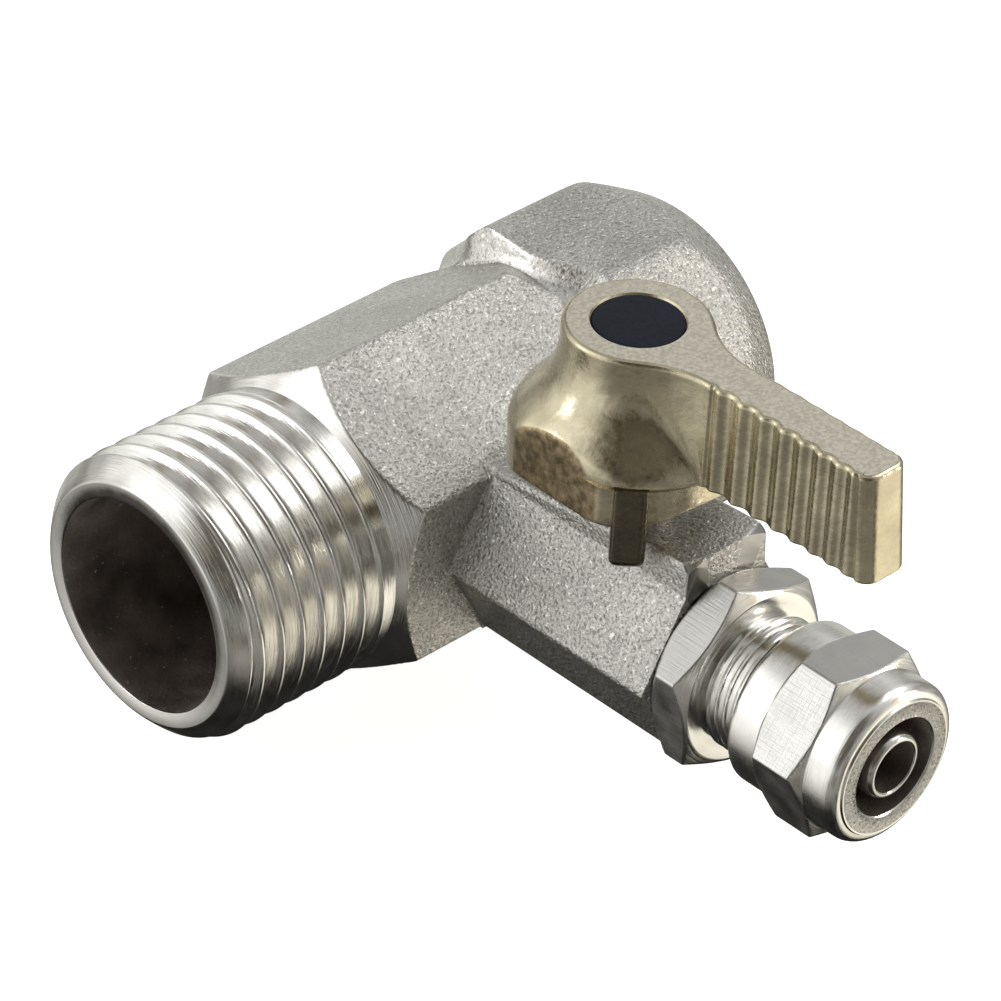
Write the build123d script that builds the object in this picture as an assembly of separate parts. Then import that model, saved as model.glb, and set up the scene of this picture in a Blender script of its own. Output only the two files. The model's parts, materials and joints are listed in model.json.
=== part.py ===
"""Tee adapter with a quarter-turn branch valve: G1/2 male end, G1/2 female end, 6 mm tube outlet.

Frame: origin at the tee centre, +X along the run towards the female end, the branch leaves along -Y,
+Z is the valve stem's axis direction, up through the lever. Units are millimetres.
"""

import math
import os

from build123d import *

# Pipe thread G1/2 (ISO 228): 14 turns per inch.
PIPE_MAJOR_R = 20.955 / 2
PIPE_MINOR_R = 18.631 / 2
PIPE_PITCH = 1.814
PIPE_LAND = 0.36
RUN_OUT_R = PIPE_MINOR_R + 0.6

# Run.
MALE_END_X = -25.8
MALE_THREAD_X = -24.1
MALE_CRESTS = 7
MALE_FACE_R = 8.9
RUN_BORE_R = 7.78
RUN_HEX_AF = 21.6
RUN_HEX_X = (-11.5, 9.8)
RUN_CONE = (10.43, -9.85)
RUN_RIDGE_END_X = 7.6
NECK_X = 10.0
NECK_R = 11.15
COLLAR_AF = 24.9
COLLAR_FULL_X = 12.9
COLLAR_ROUND_X = 19.9
FEMALE_END_X = 24.6
FEMALE_FACE_R = 10.9
PORT_FLOOR_X = 11.2
PORT_UNDERCUT = (9.9, 13.0)
PORT_CRESTS = 5
PORT_THREAD_X = 14.5
PORT_CHAMFER_X = 23.4
WASHER_BORE_R = 8.2
WASHER_R = 9.85
WASHER_THICKNESS = 1.5

# Branch with the valve chamber.
STEM_Y = -19.62
BRANCH_END_Y = -28.95
BRANCH_HEX_AF = 12.65
BRANCH_CHAMFER_R = 9.0
BRANCH_CHAMFER = 0.6
PAD_X = (-3.65, 3.88)
PAD_ROOT = (-9.5, 7.35)
PAD_END_Z = 8.85
BOSS_R = 3.6
BOSS_TOP_Z = 10.2
SOCKET_R = 5.0
SOCKET_FLOOR_Y = -24.4
CHAMBER_R = 4.55
CHAMBER_FLOOR_Y = -14.9
PORT_R = 2.2

# Ball, seats and stem.
BALL_R = 4.25
BALL_SLOT = 1.6
BALL_SLOT_Z = 2.95
SEAT_BORE_R = 2.5
SEAT_REACH = 1.6
SEAT_GAP = 0.03
STEM_R = 2.46
STEM_BORE_R = 2.5
STEM_FLANGE_R = 3.0
STEM_FLANGE_Z = (4.35, 5.1)
STEM_POCKET_R = 3.1
STEM_POCKET_Z = 5.55
STEM_SHAFT_TOP_Z = 10.5
STEM_TOP_Z = 17.3
STEM_SQUARE = 3.3
STEM_TANG = (4.0, 1.5)
STEM_TANG_Z = 3.1
RING_GROOVE_R = 1.74
RING_GROOVE_WIDTH = 1.0
RING_Z = (7.0, 9.1)
RING_WIRE_R = 0.36

# Lever.
SKIRT_R = 8.15
SKIRT_FLAT_X = 6.9
SKIRT_BOTTOM_Z = 10.9
SKIRT_RIM_Z = 14.1
HUB_TOP_R = 5.07
LEVER_TOP_Z = 21.93
SKIRT_HOLLOW_R = 6.0
SKIRT_HOLLOW_Z = 13.2
WEB_Z = (17.4, 18.2)
CAP_POCKET_R = 3.13
ARM_HALF = 1.88
ARM_TIP_Y = -42.3
ARM_BOTTOM_Z = 13.9
NECK_END_Y = -27.5
RIB_COUNT = 8
RIB_FIRST_Y = -29.7
RIB_PITCH = 1.78
RIB_CUTTER_R = 1.6
RIB_DEPTH = 0.22
LUG_WIDTH = 2.4
LUG_R = (6.4, 8.1)
LUG_BOTTOM_Z = 7.6
LUG_ANGLE = 225

# Screw, washer and cap in the lever.
SCREW_R = 1.49
SCREW_HEAD_R = 2.6
SCREW_TIP_Z = 12.4
WASHER_T = 0.5
SCREW_HEAD_T = 1.6
CAP_R = 3.1
CAP_T = 1.3

# Outlet connector and tube nut, thread M10 x 1.
OUTLET_MAJOR_R = 5.0
OUTLET_ROOT_R = 4.42
OUTLET_PITCH = 1.0
OUTLET_LAND = 0.16
OUTLET_CRESTS = 5
OUTLET_THREAD_Y = 33.6
CONNECTOR_HEX_AF = 13.0
CONNECTOR_HEX_ANGLE = 102
CONNECTOR_HEX_END = 32.2
CONNECTOR_CONE = (38.1, 39.7)
CONNECTOR_BORE_R = 1.9
BARB_R = 2.43
BARB_STEM_R = 2.2
NOSE_END = 45.0
NUT_START = 35.56
NUT_COLLAR_R = 6.04
NUT_HEX = (38.25, 42.06)
NUT_HEX_AF = 12.1
NUT_HEX_ANGLE = 114.5
NUT_BARREL_R = 5.9
NUT_BARREL_END = 43.9
NUT_FACE_R = 5.0
NUT_BORE_R = 5.05
NUT_BORE_FLOOR = 40.2
NUT_CONE_END = 41.6
NUT_HOLE_R = 3.62


def hex_radius(across_flats, sides=6):
    """Corner radius of a regular polygon from the distance across its flats."""
    return across_flats / 2 / math.cos(math.pi / sides)


def lathe_x(points):
    """Solid of revolution about X from (x, r) points, closed along the axis side of the outline."""
    outline = make_face(Polyline(*[(x, r, 0) for x, r in points], close=True))
    return revolve(outline, Axis.X, 360)


def lathe_y(points):
    """Solid of revolution about Y; points are (distance along -Y, r)."""
    outline = make_face(Polyline(*[(r, -d, 0) for d, r in points], close=True))
    return revolve(outline, Axis.Y, 360)


def lathe_stem(points):
    """Solid of revolution about the stem axis from (z, r) points."""
    outline = make_face(Polyline(*[(r, 0, z) for z, r in points], close=True))
    return Pos(0, STEM_Y, 0) * revolve(outline, Axis.Z, 360)


def stem_cylinder(radius, low, high):
    """Cylinder on the stem axis between two heights."""
    return Pos(0, STEM_Y, (low + high) / 2) * Cylinder(radius, high - low)


def stem_tube(outer, inner, low, high):
    """Ring on the stem axis between two heights."""
    return stem_cylinder(outer, low, high) - stem_cylinder(inner, low - 1, high + 1)


def branch_cylinder(radius, start, end):
    """Cylinder on the branch axis between two distances along -Y."""
    return lathe_y([(start, 0), (start, radius), (end, radius), (end, 0)])


def branch_prism(corner_r, sides, turn, start, end):
    """Regular prism on the branch axis with one corner at the given angle from +X towards +Z."""
    plane = Plane(origin=(0, -start, 0), x_dir=(1, 0, 0), z_dir=(0, -1, 0))
    return extrude(plane * RegularPolygon(corner_r, sides, rotation=turn), amount=end - start)


def run_prism(corner_r, sides, turn, low, high):
    """Regular prism on the run axis between two x positions."""
    plane = Plane(origin=(low, 0, 0), x_dir=(0, 1, 0), z_dir=(1, 0, 0))
    return extrude(plane * RegularPolygon(corner_r, sides, rotation=turn), amount=high - low)


def thread_points(first, pitch, crests, land, root_r, crest_r):
    """Outline points of ring-shaped crests, from the root before the first to the root after the last."""
    flank = (pitch - 2 * land) / 2
    points = []
    for turn in range(crests):
        middle = first + turn * pitch
        points.append((middle - land / 2 - flank, root_r))
        points.append((middle - land / 2, crest_r))
        points.append((middle + land / 2, crest_r))
        points.append((middle + land / 2 + flank, root_r))
    return points


def male_end():
    """Threaded spigot with its end ring, chamfer and the plain run-out up to the hexagon."""
    crests = thread_points(MALE_THREAD_X, PIPE_PITCH, MALE_CRESTS, PIPE_LAND, PIPE_MINOR_R, PIPE_MAJOR_R)
    points = [(MALE_END_X, 0), (MALE_END_X, MALE_FACE_R)]
    points += crests
    inside_hex = RUN_HEX_X[0] + 2
    points += [(inside_hex - 2, RUN_OUT_R), (inside_hex, RUN_OUT_R), (inside_hex, 0)]
    return lathe_x(points)


def run_body():
    """Hexagonal middle of the run, its corners turned down at both ends."""
    low, high = RUN_HEX_X
    corner = hex_radius(RUN_HEX_AF)
    prism = run_prism(corner, 6, 90, low, high)
    cone_r, cone_end = RUN_CONE
    turned = lathe_x([(low, 0), (low, cone_r), (cone_end, corner + 0.02), (RUN_RIDGE_END_X, corner + 0.02),
                      (high, NECK_R), (high, 0)])
    return prism & turned


def female_collar():
    """Octagonal collar of the female end with a flared start and a rounded mouth."""
    corner = hex_radius(COLLAR_AF, 8)
    prism = run_prism(corner, 8, 22.5, NECK_X - 0.6, FEMALE_END_X)
    with BuildSketch(Plane.XY) as outline:
        with BuildLine():
            Line((NECK_X - 0.6, 0), (NECK_X - 0.6, NECK_R))
            Line((NECK_X - 0.6, NECK_R), (NECK_X, NECK_R))
            ThreePointArc((NECK_X, NECK_R), (NECK_X + 1.9, NECK_R + 0.75), (COLLAR_FULL_X, corner + 0.05))
            Line((COLLAR_FULL_X, corner + 0.05), (COLLAR_ROUND_X, corner + 0.05))
            ThreePointArc((COLLAR_ROUND_X, corner + 0.05), (22.3, 12.3), (FEMALE_END_X, FEMALE_FACE_R))
            Line((FEMALE_END_X, FEMALE_FACE_R), (FEMALE_END_X, 0))
            Line((FEMALE_END_X, 0), (NECK_X - 0.6, 0))
        make_face()
    return prism & revolve(outline.sketch, Axis.X, 360)


def branch_body():
    """Hexagonal branch with the raised pad under the lever and the stem's boss."""
    corner = hex_radius(BRANCH_HEX_AF)
    end = -BRANCH_END_Y
    prism = branch_prism(corner, 6, 0, 2, end)
    with BuildSketch(Plane.YZ.offset(PAD_X[0])) as side:
        with BuildLine():
            Polyline((-2, 0), (-2, PAD_ROOT[1]), PAD_ROOT,
                     (BRANCH_END_Y, PAD_END_Z), (BRANCH_END_Y, 0), close=True)
        make_face()
    pad = extrude(side.sketch, amount=PAD_X[1] - PAD_X[0])
    chamfer = end - BRANCH_CHAMFER
    turned = lathe_y([(0, 0), (0, 12), (chamfer, 12), (chamfer, BRANCH_CHAMFER_R + 0.9),
                      (end, BRANCH_CHAMFER_R), (end, 0)])
    return ((prism + pad) & turned) + stem_cylinder(BOSS_R, 5, BOSS_TOP_Z)


def run_waterway():
    """Straight bore of the run and the female end's port: washer undercut, thread and mouth chamfer."""
    start = MALE_END_X - 1
    bore = lathe_x([(start, 0), (start, RUN_BORE_R), (PORT_FLOOR_X, RUN_BORE_R), (PORT_FLOOR_X, 0)])
    undercut_r, undercut_end = PORT_UNDERCUT
    points = [(PORT_FLOOR_X, 0), (PORT_FLOOR_X, undercut_r), (undercut_end, undercut_r)]
    points += [(undercut_end, PIPE_MINOR_R)]
    points += thread_points(PORT_THREAD_X, PIPE_PITCH, PORT_CRESTS, PIPE_LAND, PIPE_MINOR_R, PIPE_MAJOR_R)
    mouth = FEMALE_END_X + 0.01
    points += [(PORT_CHAMFER_X, PIPE_MINOR_R), (mouth, PIPE_MAJOR_R + 0.1), (mouth, 0)]
    return bore + lathe_x(points)


def branch_waterway():
    """Port, valve chamber and threaded socket bored from the branch's mouth, and the stem's bores."""
    port = branch_cylinder(PORT_R, 5, -CHAMBER_FLOOR_Y + 1)
    chamber = branch_cylinder(CHAMBER_R, -CHAMBER_FLOOR_Y, -SOCKET_FLOOR_Y + 1)
    socket = branch_cylinder(SOCKET_R, -SOCKET_FLOOR_Y, -BRANCH_END_Y + 1)
    pocket = stem_cylinder(STEM_POCKET_R, 2, STEM_POCKET_Z)
    bore = stem_cylinder(STEM_BORE_R, 3, BOSS_TOP_Z + 1)
    return [port, chamber, socket, pocket, bore]


def tee_body():
    """One forged and machined brass body."""
    body = male_end() + run_body() + female_collar() + branch_body()
    body -= run_waterway()
    for hole in branch_waterway():
        body -= hole
    return body


def ball():
    """Ball with its flow bore along the branch and the tang's slot across the top."""
    solid = Sphere(BALL_R) - Rot(90, 0, 0) * Cylinder(PORT_R, 4 * BALL_R)
    slot_height = BALL_R - BALL_SLOT_Z + 1
    solid -= Pos(0, 0, BALL_SLOT_Z + slot_height / 2) * Box(4 * BALL_R, BALL_SLOT, slot_height)
    return Pos(0, STEM_Y, 0) * solid


def seat(side):
    """Ring seat cupped to the ball; side is +1 towards the run and -1 towards the outlet."""
    outer = STEM_Y + side * (BALL_R + 0.46)
    inner = outer - side * SEAT_REACH
    low, high = sorted((-outer, -inner))
    ring = branch_cylinder(CHAMBER_R - 0.01, low, high) - branch_cylinder(SEAT_BORE_R, low - 1, high + 1)
    return ring - Pos(0, STEM_Y, 0) * Sphere(BALL_R + SEAT_GAP)


def stem():
    """Stem with a tang for the ball, a retaining flange, two ring grooves, a square and a tapped hole."""
    long_side, thickness = STEM_TANG
    tang_height = STEM_FLANGE_Z[0] - STEM_TANG_Z
    tang = Box(long_side, thickness, tang_height)
    solid = Pos(0, STEM_Y, STEM_TANG_Z + tang_height / 2) * tang
    solid += stem_cylinder(STEM_FLANGE_R, *STEM_FLANGE_Z)
    solid += stem_cylinder(STEM_R, STEM_FLANGE_Z[1], STEM_SHAFT_TOP_Z)
    square_height = STEM_TOP_Z - STEM_SHAFT_TOP_Z
    square = Box(STEM_SQUARE, STEM_SQUARE, square_height)
    solid += Pos(0, STEM_Y, STEM_SHAFT_TOP_Z + square_height / 2) * square
    for z in RING_Z:
        low = z - RING_GROOVE_WIDTH / 2
        solid -= stem_tube(STEM_R + 1, RING_GROOVE_R, low, low + RING_GROOVE_WIDTH)
    return solid - stem_cylinder(SCREW_R + 0.01, SCREW_TIP_Z - 0.6, STEM_TOP_Z + 1)


def thrust_washer():
    """Slip washer between the stem's flange and the roof of its pocket."""
    return stem_tube(STEM_POCKET_R - 0.02, STEM_BORE_R + 0.02, STEM_FLANGE_Z[1] + 0.03, STEM_POCKET_Z)


def stem_ring(z):
    """O-ring in one of the stem's grooves."""
    return Pos(0, STEM_Y, z) * Torus(RING_GROOVE_R + 0.01 + RING_WIRE_R, RING_WIRE_R)


def lever_hub():
    """Bell-shaped hub: round on top, flared to a skirt that has two flats."""
    with BuildSketch(Plane.XZ) as outline:
        with BuildLine():
            Line((0, SKIRT_BOTTOM_Z), (SKIRT_R, SKIRT_BOTTOM_Z))
            Line((SKIRT_R, SKIRT_BOTTOM_Z), (SKIRT_R, SKIRT_RIM_Z))
            ThreePointArc((SKIRT_R, SKIRT_RIM_Z), (7.85, 15.0), (7.1, 15.9))
            ThreePointArc((7.1, 15.9), (5.75, 17.7), (HUB_TOP_R, 20.2))
            Line((HUB_TOP_R, 20.2), (HUB_TOP_R, LEVER_TOP_Z))
            Line((HUB_TOP_R, LEVER_TOP_Z), (0, LEVER_TOP_Z))
            Line((0, LEVER_TOP_Z), (0, SKIRT_BOTTOM_Z))
        make_face()
    bell = revolve(outline.sketch, Axis.Z, 360)
    return bell & Box(2 * SKIRT_FLAT_X, 4 * SKIRT_R, 4 * LEVER_TOP_Z)


def lever_arm():
    """Upright blade with a waisted neck, in the stem's own frame with the arm along -Y."""
    tip = ARM_TIP_Y - STEM_Y
    neck = NECK_END_Y - STEM_Y
    with BuildSketch(Plane.XY.offset(ARM_BOTTOM_Z)) as plan:
        with BuildLine():
            ThreePointArc((-4.5, -2.3), (-2.75, -4.6), (-ARM_HALF, neck))
            Line((-ARM_HALF, neck), (-ARM_HALF, tip + 1))
            ThreePointArc((-ARM_HALF, tip + 1), (-ARM_HALF + 0.3, tip + 0.3), (-ARM_HALF + 1, tip))
            Line((-ARM_HALF + 1, tip), (ARM_HALF - 1, tip))
            ThreePointArc((ARM_HALF - 1, tip), (ARM_HALF - 0.3, tip + 0.3), (ARM_HALF, tip + 1))
            Line((ARM_HALF, tip + 1), (ARM_HALF, neck))
            ThreePointArc((ARM_HALF, neck), (2.75, -4.6), (4.5, -2.3))
            Line((4.5, -2.3), (-4.5, -2.3))
        make_face()
    arm = extrude(plan.sketch, amount=LEVER_TOP_Z - ARM_BOTTOM_Z)
    for rib in range(RIB_COUNT - 1):
        y = RIB_FIRST_Y - STEM_Y - rib * RIB_PITCH
        for side in (-1, 1):
            x = side * (ARM_HALF + RIB_CUTTER_R - RIB_DEPTH)
            arm -= Pos(x, y, ARM_BOTTOM_Z + 3) * Cylinder(RIB_CUTTER_R, 8)
    return arm


def lever_handle():
    """Die-cast lever: bell hub, arm, stop lug, square socket and the cap's pocket."""
    solid = lever_hub() + lever_arm()
    lug_depth = LUG_R[1] - LUG_R[0]
    lug_height = SKIRT_HOLLOW_Z - LUG_BOTTOM_Z
    lug = Box(lug_depth, LUG_WIDTH, lug_height)
    lug = Pos(sum(LUG_R) / 2, 0, LUG_BOTTOM_Z + lug_height / 2) * lug
    solid += Rot(0, 0, LUG_ANGLE) * lug
    solid -= Pos(0, 0, (SKIRT_HOLLOW_Z + 8) / 2) * Cylinder(SKIRT_HOLLOW_R, SKIRT_HOLLOW_Z - 8)
    socket_side = STEM_SQUARE + 0.02
    socket_height = WEB_Z[0] - SKIRT_HOLLOW_Z
    solid -= Pos(0, 0, SKIRT_HOLLOW_Z + socket_height / 2) * Box(socket_side, socket_side, socket_height)
    solid -= Pos(0, 0, 18) * Cylinder(SCREW_R + 0.1, 4)
    pocket_height = LEVER_TOP_Z + 1 - WEB_Z[1]
    solid -= Pos(0, 0, WEB_Z[1] + pocket_height / 2) * Cylinder(CAP_POCKET_R, pocket_height)
    return Pos(0, STEM_Y, 0) * solid


def handle_screw():
    """Pan-head screw with a cross recess that holds the lever on the stem."""
    head_z = WEB_Z[1] + WASHER_T
    top_z = head_z + SCREW_HEAD_T
    solid = stem_cylinder(SCREW_R, SCREW_TIP_Z, head_z) + stem_cylinder(SCREW_HEAD_R, head_z, top_z)
    for turn in (0, 90):
        blade = Rot(0, 0, turn) * Box(2.8, 0.6, 1.8)
        solid -= Pos(0, STEM_Y, top_z) * blade
    return solid


def outlet_connector():
    """Screwed-in outlet: threaded spigot, hexagon, nut thread, clamping cone and barb, bored through."""
    spigot = branch_cylinder(SOCKET_R - 0.01, -SOCKET_FLOOR_Y + 0.02, -BRANCH_END_Y + 0.5)
    corner = hex_radius(CONNECTOR_HEX_AF)
    start = -BRANCH_END_Y + 0.02
    end = CONNECTOR_HEX_END
    prism = branch_prism(corner, 6, CONNECTOR_HEX_ANGLE, start, end)
    turned = lathe_y([(start, 0), (start, 6.5), (start + 0.6, corner + 0.1), (end - 0.8, corner + 0.1),
                      (end, 6.2), (end, 0)])
    cone_start, cone_end = CONNECTOR_CONE
    points = [(end - 1, 0), (end - 1, OUTLET_ROOT_R)]
    points += thread_points(OUTLET_THREAD_Y, OUTLET_PITCH, OUTLET_CRESTS, OUTLET_LAND,
                            OUTLET_ROOT_R, OUTLET_MAJOR_R)
    points += [(cone_start, OUTLET_ROOT_R), (cone_end, 3.2), (cone_end, BARB_STEM_R)]
    for tip in (42.4, NOSE_END):
        points += [(tip - 1.6, BARB_STEM_R), (tip - 1.2, BARB_R)]
        points += [(tip - 0.4, BARB_R), (tip, BARB_STEM_R + 0.05)]
    points += [(NOSE_END, 0)]
    solid = spigot + (prism & turned) + lathe_y(points)
    return solid - branch_cylinder(CONNECTOR_BORE_R, -SOCKET_FLOOR_Y - 1, NOSE_END + 1)


def tube_nut():
    """Union nut: round collar, hexagon, rounded nose; the bore ends in the tube's clamping cone."""
    low, high = NUT_HEX
    corner = hex_radius(NUT_HEX_AF)
    collar = lathe_y([(NUT_START, 0), (NUT_START, NUT_COLLAR_R - 0.25), (NUT_START + 0.25, NUT_COLLAR_R),
                      (low + 0.5, NUT_COLLAR_R), (low + 0.5, 0)])
    prism = branch_prism(corner, 6, NUT_HEX_ANGLE, low, high)
    turned = lathe_y([(low, 0), (low, 6.2), (low + 0.5, corner + 0.05), (high - 0.5, corner + 0.05),
                      (high, 6.2), (high, 0)])
    with BuildSketch(Plane.XY) as outline:
        with BuildLine():
            Line((0, -high + 0.5), (NUT_BARREL_R, -high + 0.5))
            Line((NUT_BARREL_R, -high + 0.5), (NUT_BARREL_R, -NUT_BARREL_END))
            ThreePointArc((NUT_BARREL_R, -NUT_BARREL_END), (5.6, -44.65), (NUT_FACE_R, -NOSE_END))
            Line((NUT_FACE_R, -NOSE_END), (0, -NOSE_END))
            Line((0, -NOSE_END), (0, -high + 0.5))
        make_face()
    nose = revolve(outline.sketch, Axis.Y, 360)
    bore = lathe_y([(NUT_START - 1, 0), (NUT_START - 1, NUT_BORE_R), (NUT_BORE_FLOOR, NUT_BORE_R),
                    (NUT_CONE_END, NUT_HOLE_R), (NOSE_END + 1, NUT_HOLE_R), (NOSE_END + 1, 0)])
    return collar + (prism & turned) + nose - bore


def port_washer():
    """Flat rubber washer on the floor of the female port, held in its undercut."""
    low, high = PORT_FLOOR_X, PORT_FLOOR_X + WASHER_THICKNESS
    return lathe_x([(low, WASHER_BORE_R), (low, WASHER_R), (high, WASHER_R), (high, WASHER_BORE_R)])


def build_nodes():
    """Every physical piece by its node name."""
    cap_low = LEVER_TOP_Z - CAP_T
    washer_low, washer_high = WEB_Z[1], WEB_Z[1] + WASHER_T
    return {
        "tee_body": tee_body(),
        "ball": ball(),
        "seat_inner": seat(1),
        "seat_outer": seat(-1),
        "stem": stem(),
        "stem_thrust_washer": thrust_washer(),
        "stem_o_ring_lower": stem_ring(RING_Z[0]),
        "stem_o_ring_upper": stem_ring(RING_Z[1]),
        "lever_handle": lever_handle(),
        "handle_washer": stem_tube(2.75, SCREW_R + 0.1, washer_low, washer_high),
        "handle_screw": handle_screw(),
        "handle_cap": stem_cylinder(CAP_R, cap_low, LEVER_TOP_Z),
        "outlet_connector": outlet_connector(),
        "tube_nut": tube_nut(),
        "port_washer": port_washer(),
    }


def main():
    """Write one STEP file per node."""
    os.makedirs("parts", exist_ok=True)
    for name, solid in build_nodes().items():
        solid.label = name
        export_step(solid, f"parts/{name}.step")
        print(name, round(solid.volume, 1))


main()
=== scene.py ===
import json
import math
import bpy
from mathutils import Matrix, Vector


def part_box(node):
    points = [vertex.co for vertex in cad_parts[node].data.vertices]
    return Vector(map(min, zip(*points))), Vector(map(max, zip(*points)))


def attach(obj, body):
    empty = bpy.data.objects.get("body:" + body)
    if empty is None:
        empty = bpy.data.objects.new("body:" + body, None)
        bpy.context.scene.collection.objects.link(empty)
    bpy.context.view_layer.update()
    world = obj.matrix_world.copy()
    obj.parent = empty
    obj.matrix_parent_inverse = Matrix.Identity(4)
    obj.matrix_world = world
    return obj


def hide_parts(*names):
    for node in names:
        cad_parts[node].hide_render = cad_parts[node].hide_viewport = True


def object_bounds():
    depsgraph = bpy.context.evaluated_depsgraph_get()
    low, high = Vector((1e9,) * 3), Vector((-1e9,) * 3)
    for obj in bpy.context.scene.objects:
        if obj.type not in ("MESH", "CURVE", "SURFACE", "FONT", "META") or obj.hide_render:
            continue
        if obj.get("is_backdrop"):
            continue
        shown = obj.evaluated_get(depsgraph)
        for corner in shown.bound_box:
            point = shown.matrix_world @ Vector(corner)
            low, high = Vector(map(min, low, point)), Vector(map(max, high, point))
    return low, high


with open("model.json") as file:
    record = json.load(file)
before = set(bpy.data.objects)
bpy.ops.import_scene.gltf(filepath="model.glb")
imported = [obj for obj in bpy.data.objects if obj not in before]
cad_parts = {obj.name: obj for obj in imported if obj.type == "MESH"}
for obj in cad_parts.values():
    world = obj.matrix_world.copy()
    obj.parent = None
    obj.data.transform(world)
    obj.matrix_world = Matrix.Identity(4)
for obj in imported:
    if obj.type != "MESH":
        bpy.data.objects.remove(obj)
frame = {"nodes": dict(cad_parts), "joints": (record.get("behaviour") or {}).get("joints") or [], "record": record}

# Nickel-plated tee adapter with a quarter-turn branch valve. Shapes are worked out in millimetres and
# written to the meshes in metres. Every new piece is a closed surface over a grid of two parameters:
# rows run along a profile and columns run round it.

from types import SimpleNamespace

import bmesh
import bpy
import numpy as np
from mathutils import Matrix

bl_info = {
    "name": "Tee adapter with branch valve",
    "version": (1, 0, 0),
    "blender": (4, 5, 0),
    "location": "3D View > Sidebar > Tee Valve",
    "description": "Builds the visible pieces of a threaded tee with a quarter-turn valve on its branch",
    "category": "Object",
}

MM = 0.001
TURN = 2 * math.pi
SHARP_ANGLE = math.radians(38)
WELD_MM = 0.0005
PIPE_FORM = (27.5, 0.2)
FINE_FORM = (30, 0.09)
SOCKET_R, CHAMBER_R, PORT_R = 5.0, 4.55, 2.2


def box_mm(node):
    """Lowest and highest corner of a CAD node in millimetres."""
    low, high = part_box(node)
    return np.array(low) / MM, np.array(high) / MM


def mount_dims(name):
    """Dimensions of one of the record's mounts."""
    return next(m["dims"] for m in frame["record"]["mounts"] if m["name"] == name)


BODY_LOW, BODY_HIGH = box_mm("tee_body")
LEVER_LOW, LEVER_HIGH = box_mm("lever_handle")
CONNECTOR_LOW = box_mm("outlet_connector")[0]
NUT_LOW, NUT_HIGH = box_mm("tube_nut")
STEM_Y = frame["joints"][0]["pos_m"][1] / MM
BORE_R = mount_dims("run_bore")["r_mm"]
PIPE_MAJOR_R = mount_dims("male_thread")["r_mm"]
PIPE_MINOR_R = mount_dims("female_thread")["r_mm"]


def length(label, description, value_mm):
    """A length property in metres whose default is given in millimetres."""
    return bpy.props.FloatProperty(name=label, description=description,
                                   default=float(value_mm) * MM,
                                   unit="LENGTH", subtype="DISTANCE", precision=6)


def colour(label, description, value):
    """A colour property."""
    return bpy.props.FloatVectorProperty(name=label, description=description, default=value,
                                         subtype="COLOR", size=3, min=0, max=1)


def in_mm(group):
    """The group's lengths in millimetres, by name."""
    names = [p.identifier for p in group.bl_rna.properties if getattr(p, "unit", "") == "LENGTH"]
    return SimpleNamespace(**{name: getattr(group, name) / MM for name in names})


class BodySizes(bpy.types.PropertyGroup):
    """Sizes of the one-piece body."""
    face_radius: length("Male face radius", "Outer radius of the flat ring at the male end", 8.9)
    thread_start: length("Thread start", "X where the first male groove starts", -24.9)
    thread_end: length("Thread end", "X where the male grooves have run out", -12.5)
    thread_pitch: length("Pipe pitch", "Pitch of both pipe threads", 1.814)
    band_radius: length("Run-out radius", "Radius of the turned band behind the male thread", 10.15)
    hex_apothem: length("Run hexagon", "Half the distance across the run's flats", 10.8)
    hex_cone_start: length("Hexagon start", "X where the flats' middles meet the turned cone",
                           -11.25)
    ridge_end: length("Ridge end", "X where the hexagon's corners start to fall to the neck", 7.6)
    neck: length("Neck", "X of the crease between run and collar", 10.0)
    neck_radius: length("Neck radius", "Radius at the crease", 11.15)
    collar_apothem: length("Collar octagon", "Half the distance across the collar's flats", 12.45)
    collar_round: length("Collar rounding", "Radius on the octagon's corners", 1.9)
    mouth_radius: length("Mouth radius", "Outer radius of the female end's flat face", 10.9)
    port_floor: length("Port floor", "X of the female port's floor", 11.2)
    undercut_radius: length("Undercut", "Radius of the washer's undercut", 9.9)
    branch_apothem: length("Branch hexagon", "Half the distance across the branch's flats", 6.325)
    pad_left: length("Pad left", "X of the pad's wall on the male side", -3.65)
    pad_right: length("Pad right", "X of the pad's wall on the female side", 3.88)
    pad_root: length("Pad root", "Height of the pad where it leaves the run", 6.7)
    pad_end: length("Pad end", "Height of the pad at the branch's mouth", 8.85)
    branch_face: length("Branch face", "Radius of the branch's turned end face", 9.0)
    boss_radius: length("Boss", "Radius of the stem's boss", 3.6)
    boss_top: length("Boss top", "Height of the stem's boss", 10.2)


class LeverSizes(bpy.types.PropertyGroup):
    """Sizes of the lever and its cap."""
    skirt_flat: length("Skirt flats", "Half the distance across the skirt's two flats", 7.15)
    arm_half: length("Arm half width", "Half the arm's thickness at its ridges", 1.88)
    arm_underside: length("Arm underside", "Height of the arm's lower edge", 13.9)
    rib_depth: length("Groove depth", "Depth of the grooves between the arm's ridges", 0.36)
    rim_round: length("Rim rounding", "Radius along the top edge", 0.33)
    pocket: length("Cap pocket", "Radius of the pocket for the cap", 3.13)
    hollow: length("Skirt hollow", "Radius of the hollow under the skirt", 6.0)
    lug_width: length("Lug width", "Width of the stop lug", 2.4)


class OutletSizes(bpy.types.PropertyGroup):
    """Sizes of the outlet connector and the tube nut."""
    thread_radius: length("Outlet thread", "Major radius of the fine thread", 5.0)
    thread_pitch: length("Outlet pitch", "Pitch of the fine thread", 0.75)
    connector_apothem: length("Connector hexagon", "Half the distance across its flats", 6.5)
    barb: length("Barb", "Radius of the barb's rings", 2.43)
    connector_bore: length("Waterway", "Radius of the hole through the barb", 1.9)
    nut_apothem: length("Nut hexagon", "Half the distance across its flats", 6.05)
    nut_collar: length("Nut collar", "Radius of the nut's round collar", 6.04)
    nut_barrel: length("Nut barrel", "Radius of the nut's round nose", 5.9)
    nut_hole: length("Nose hole", "Radius of the hole that the tube goes through", 3.62)


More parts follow.
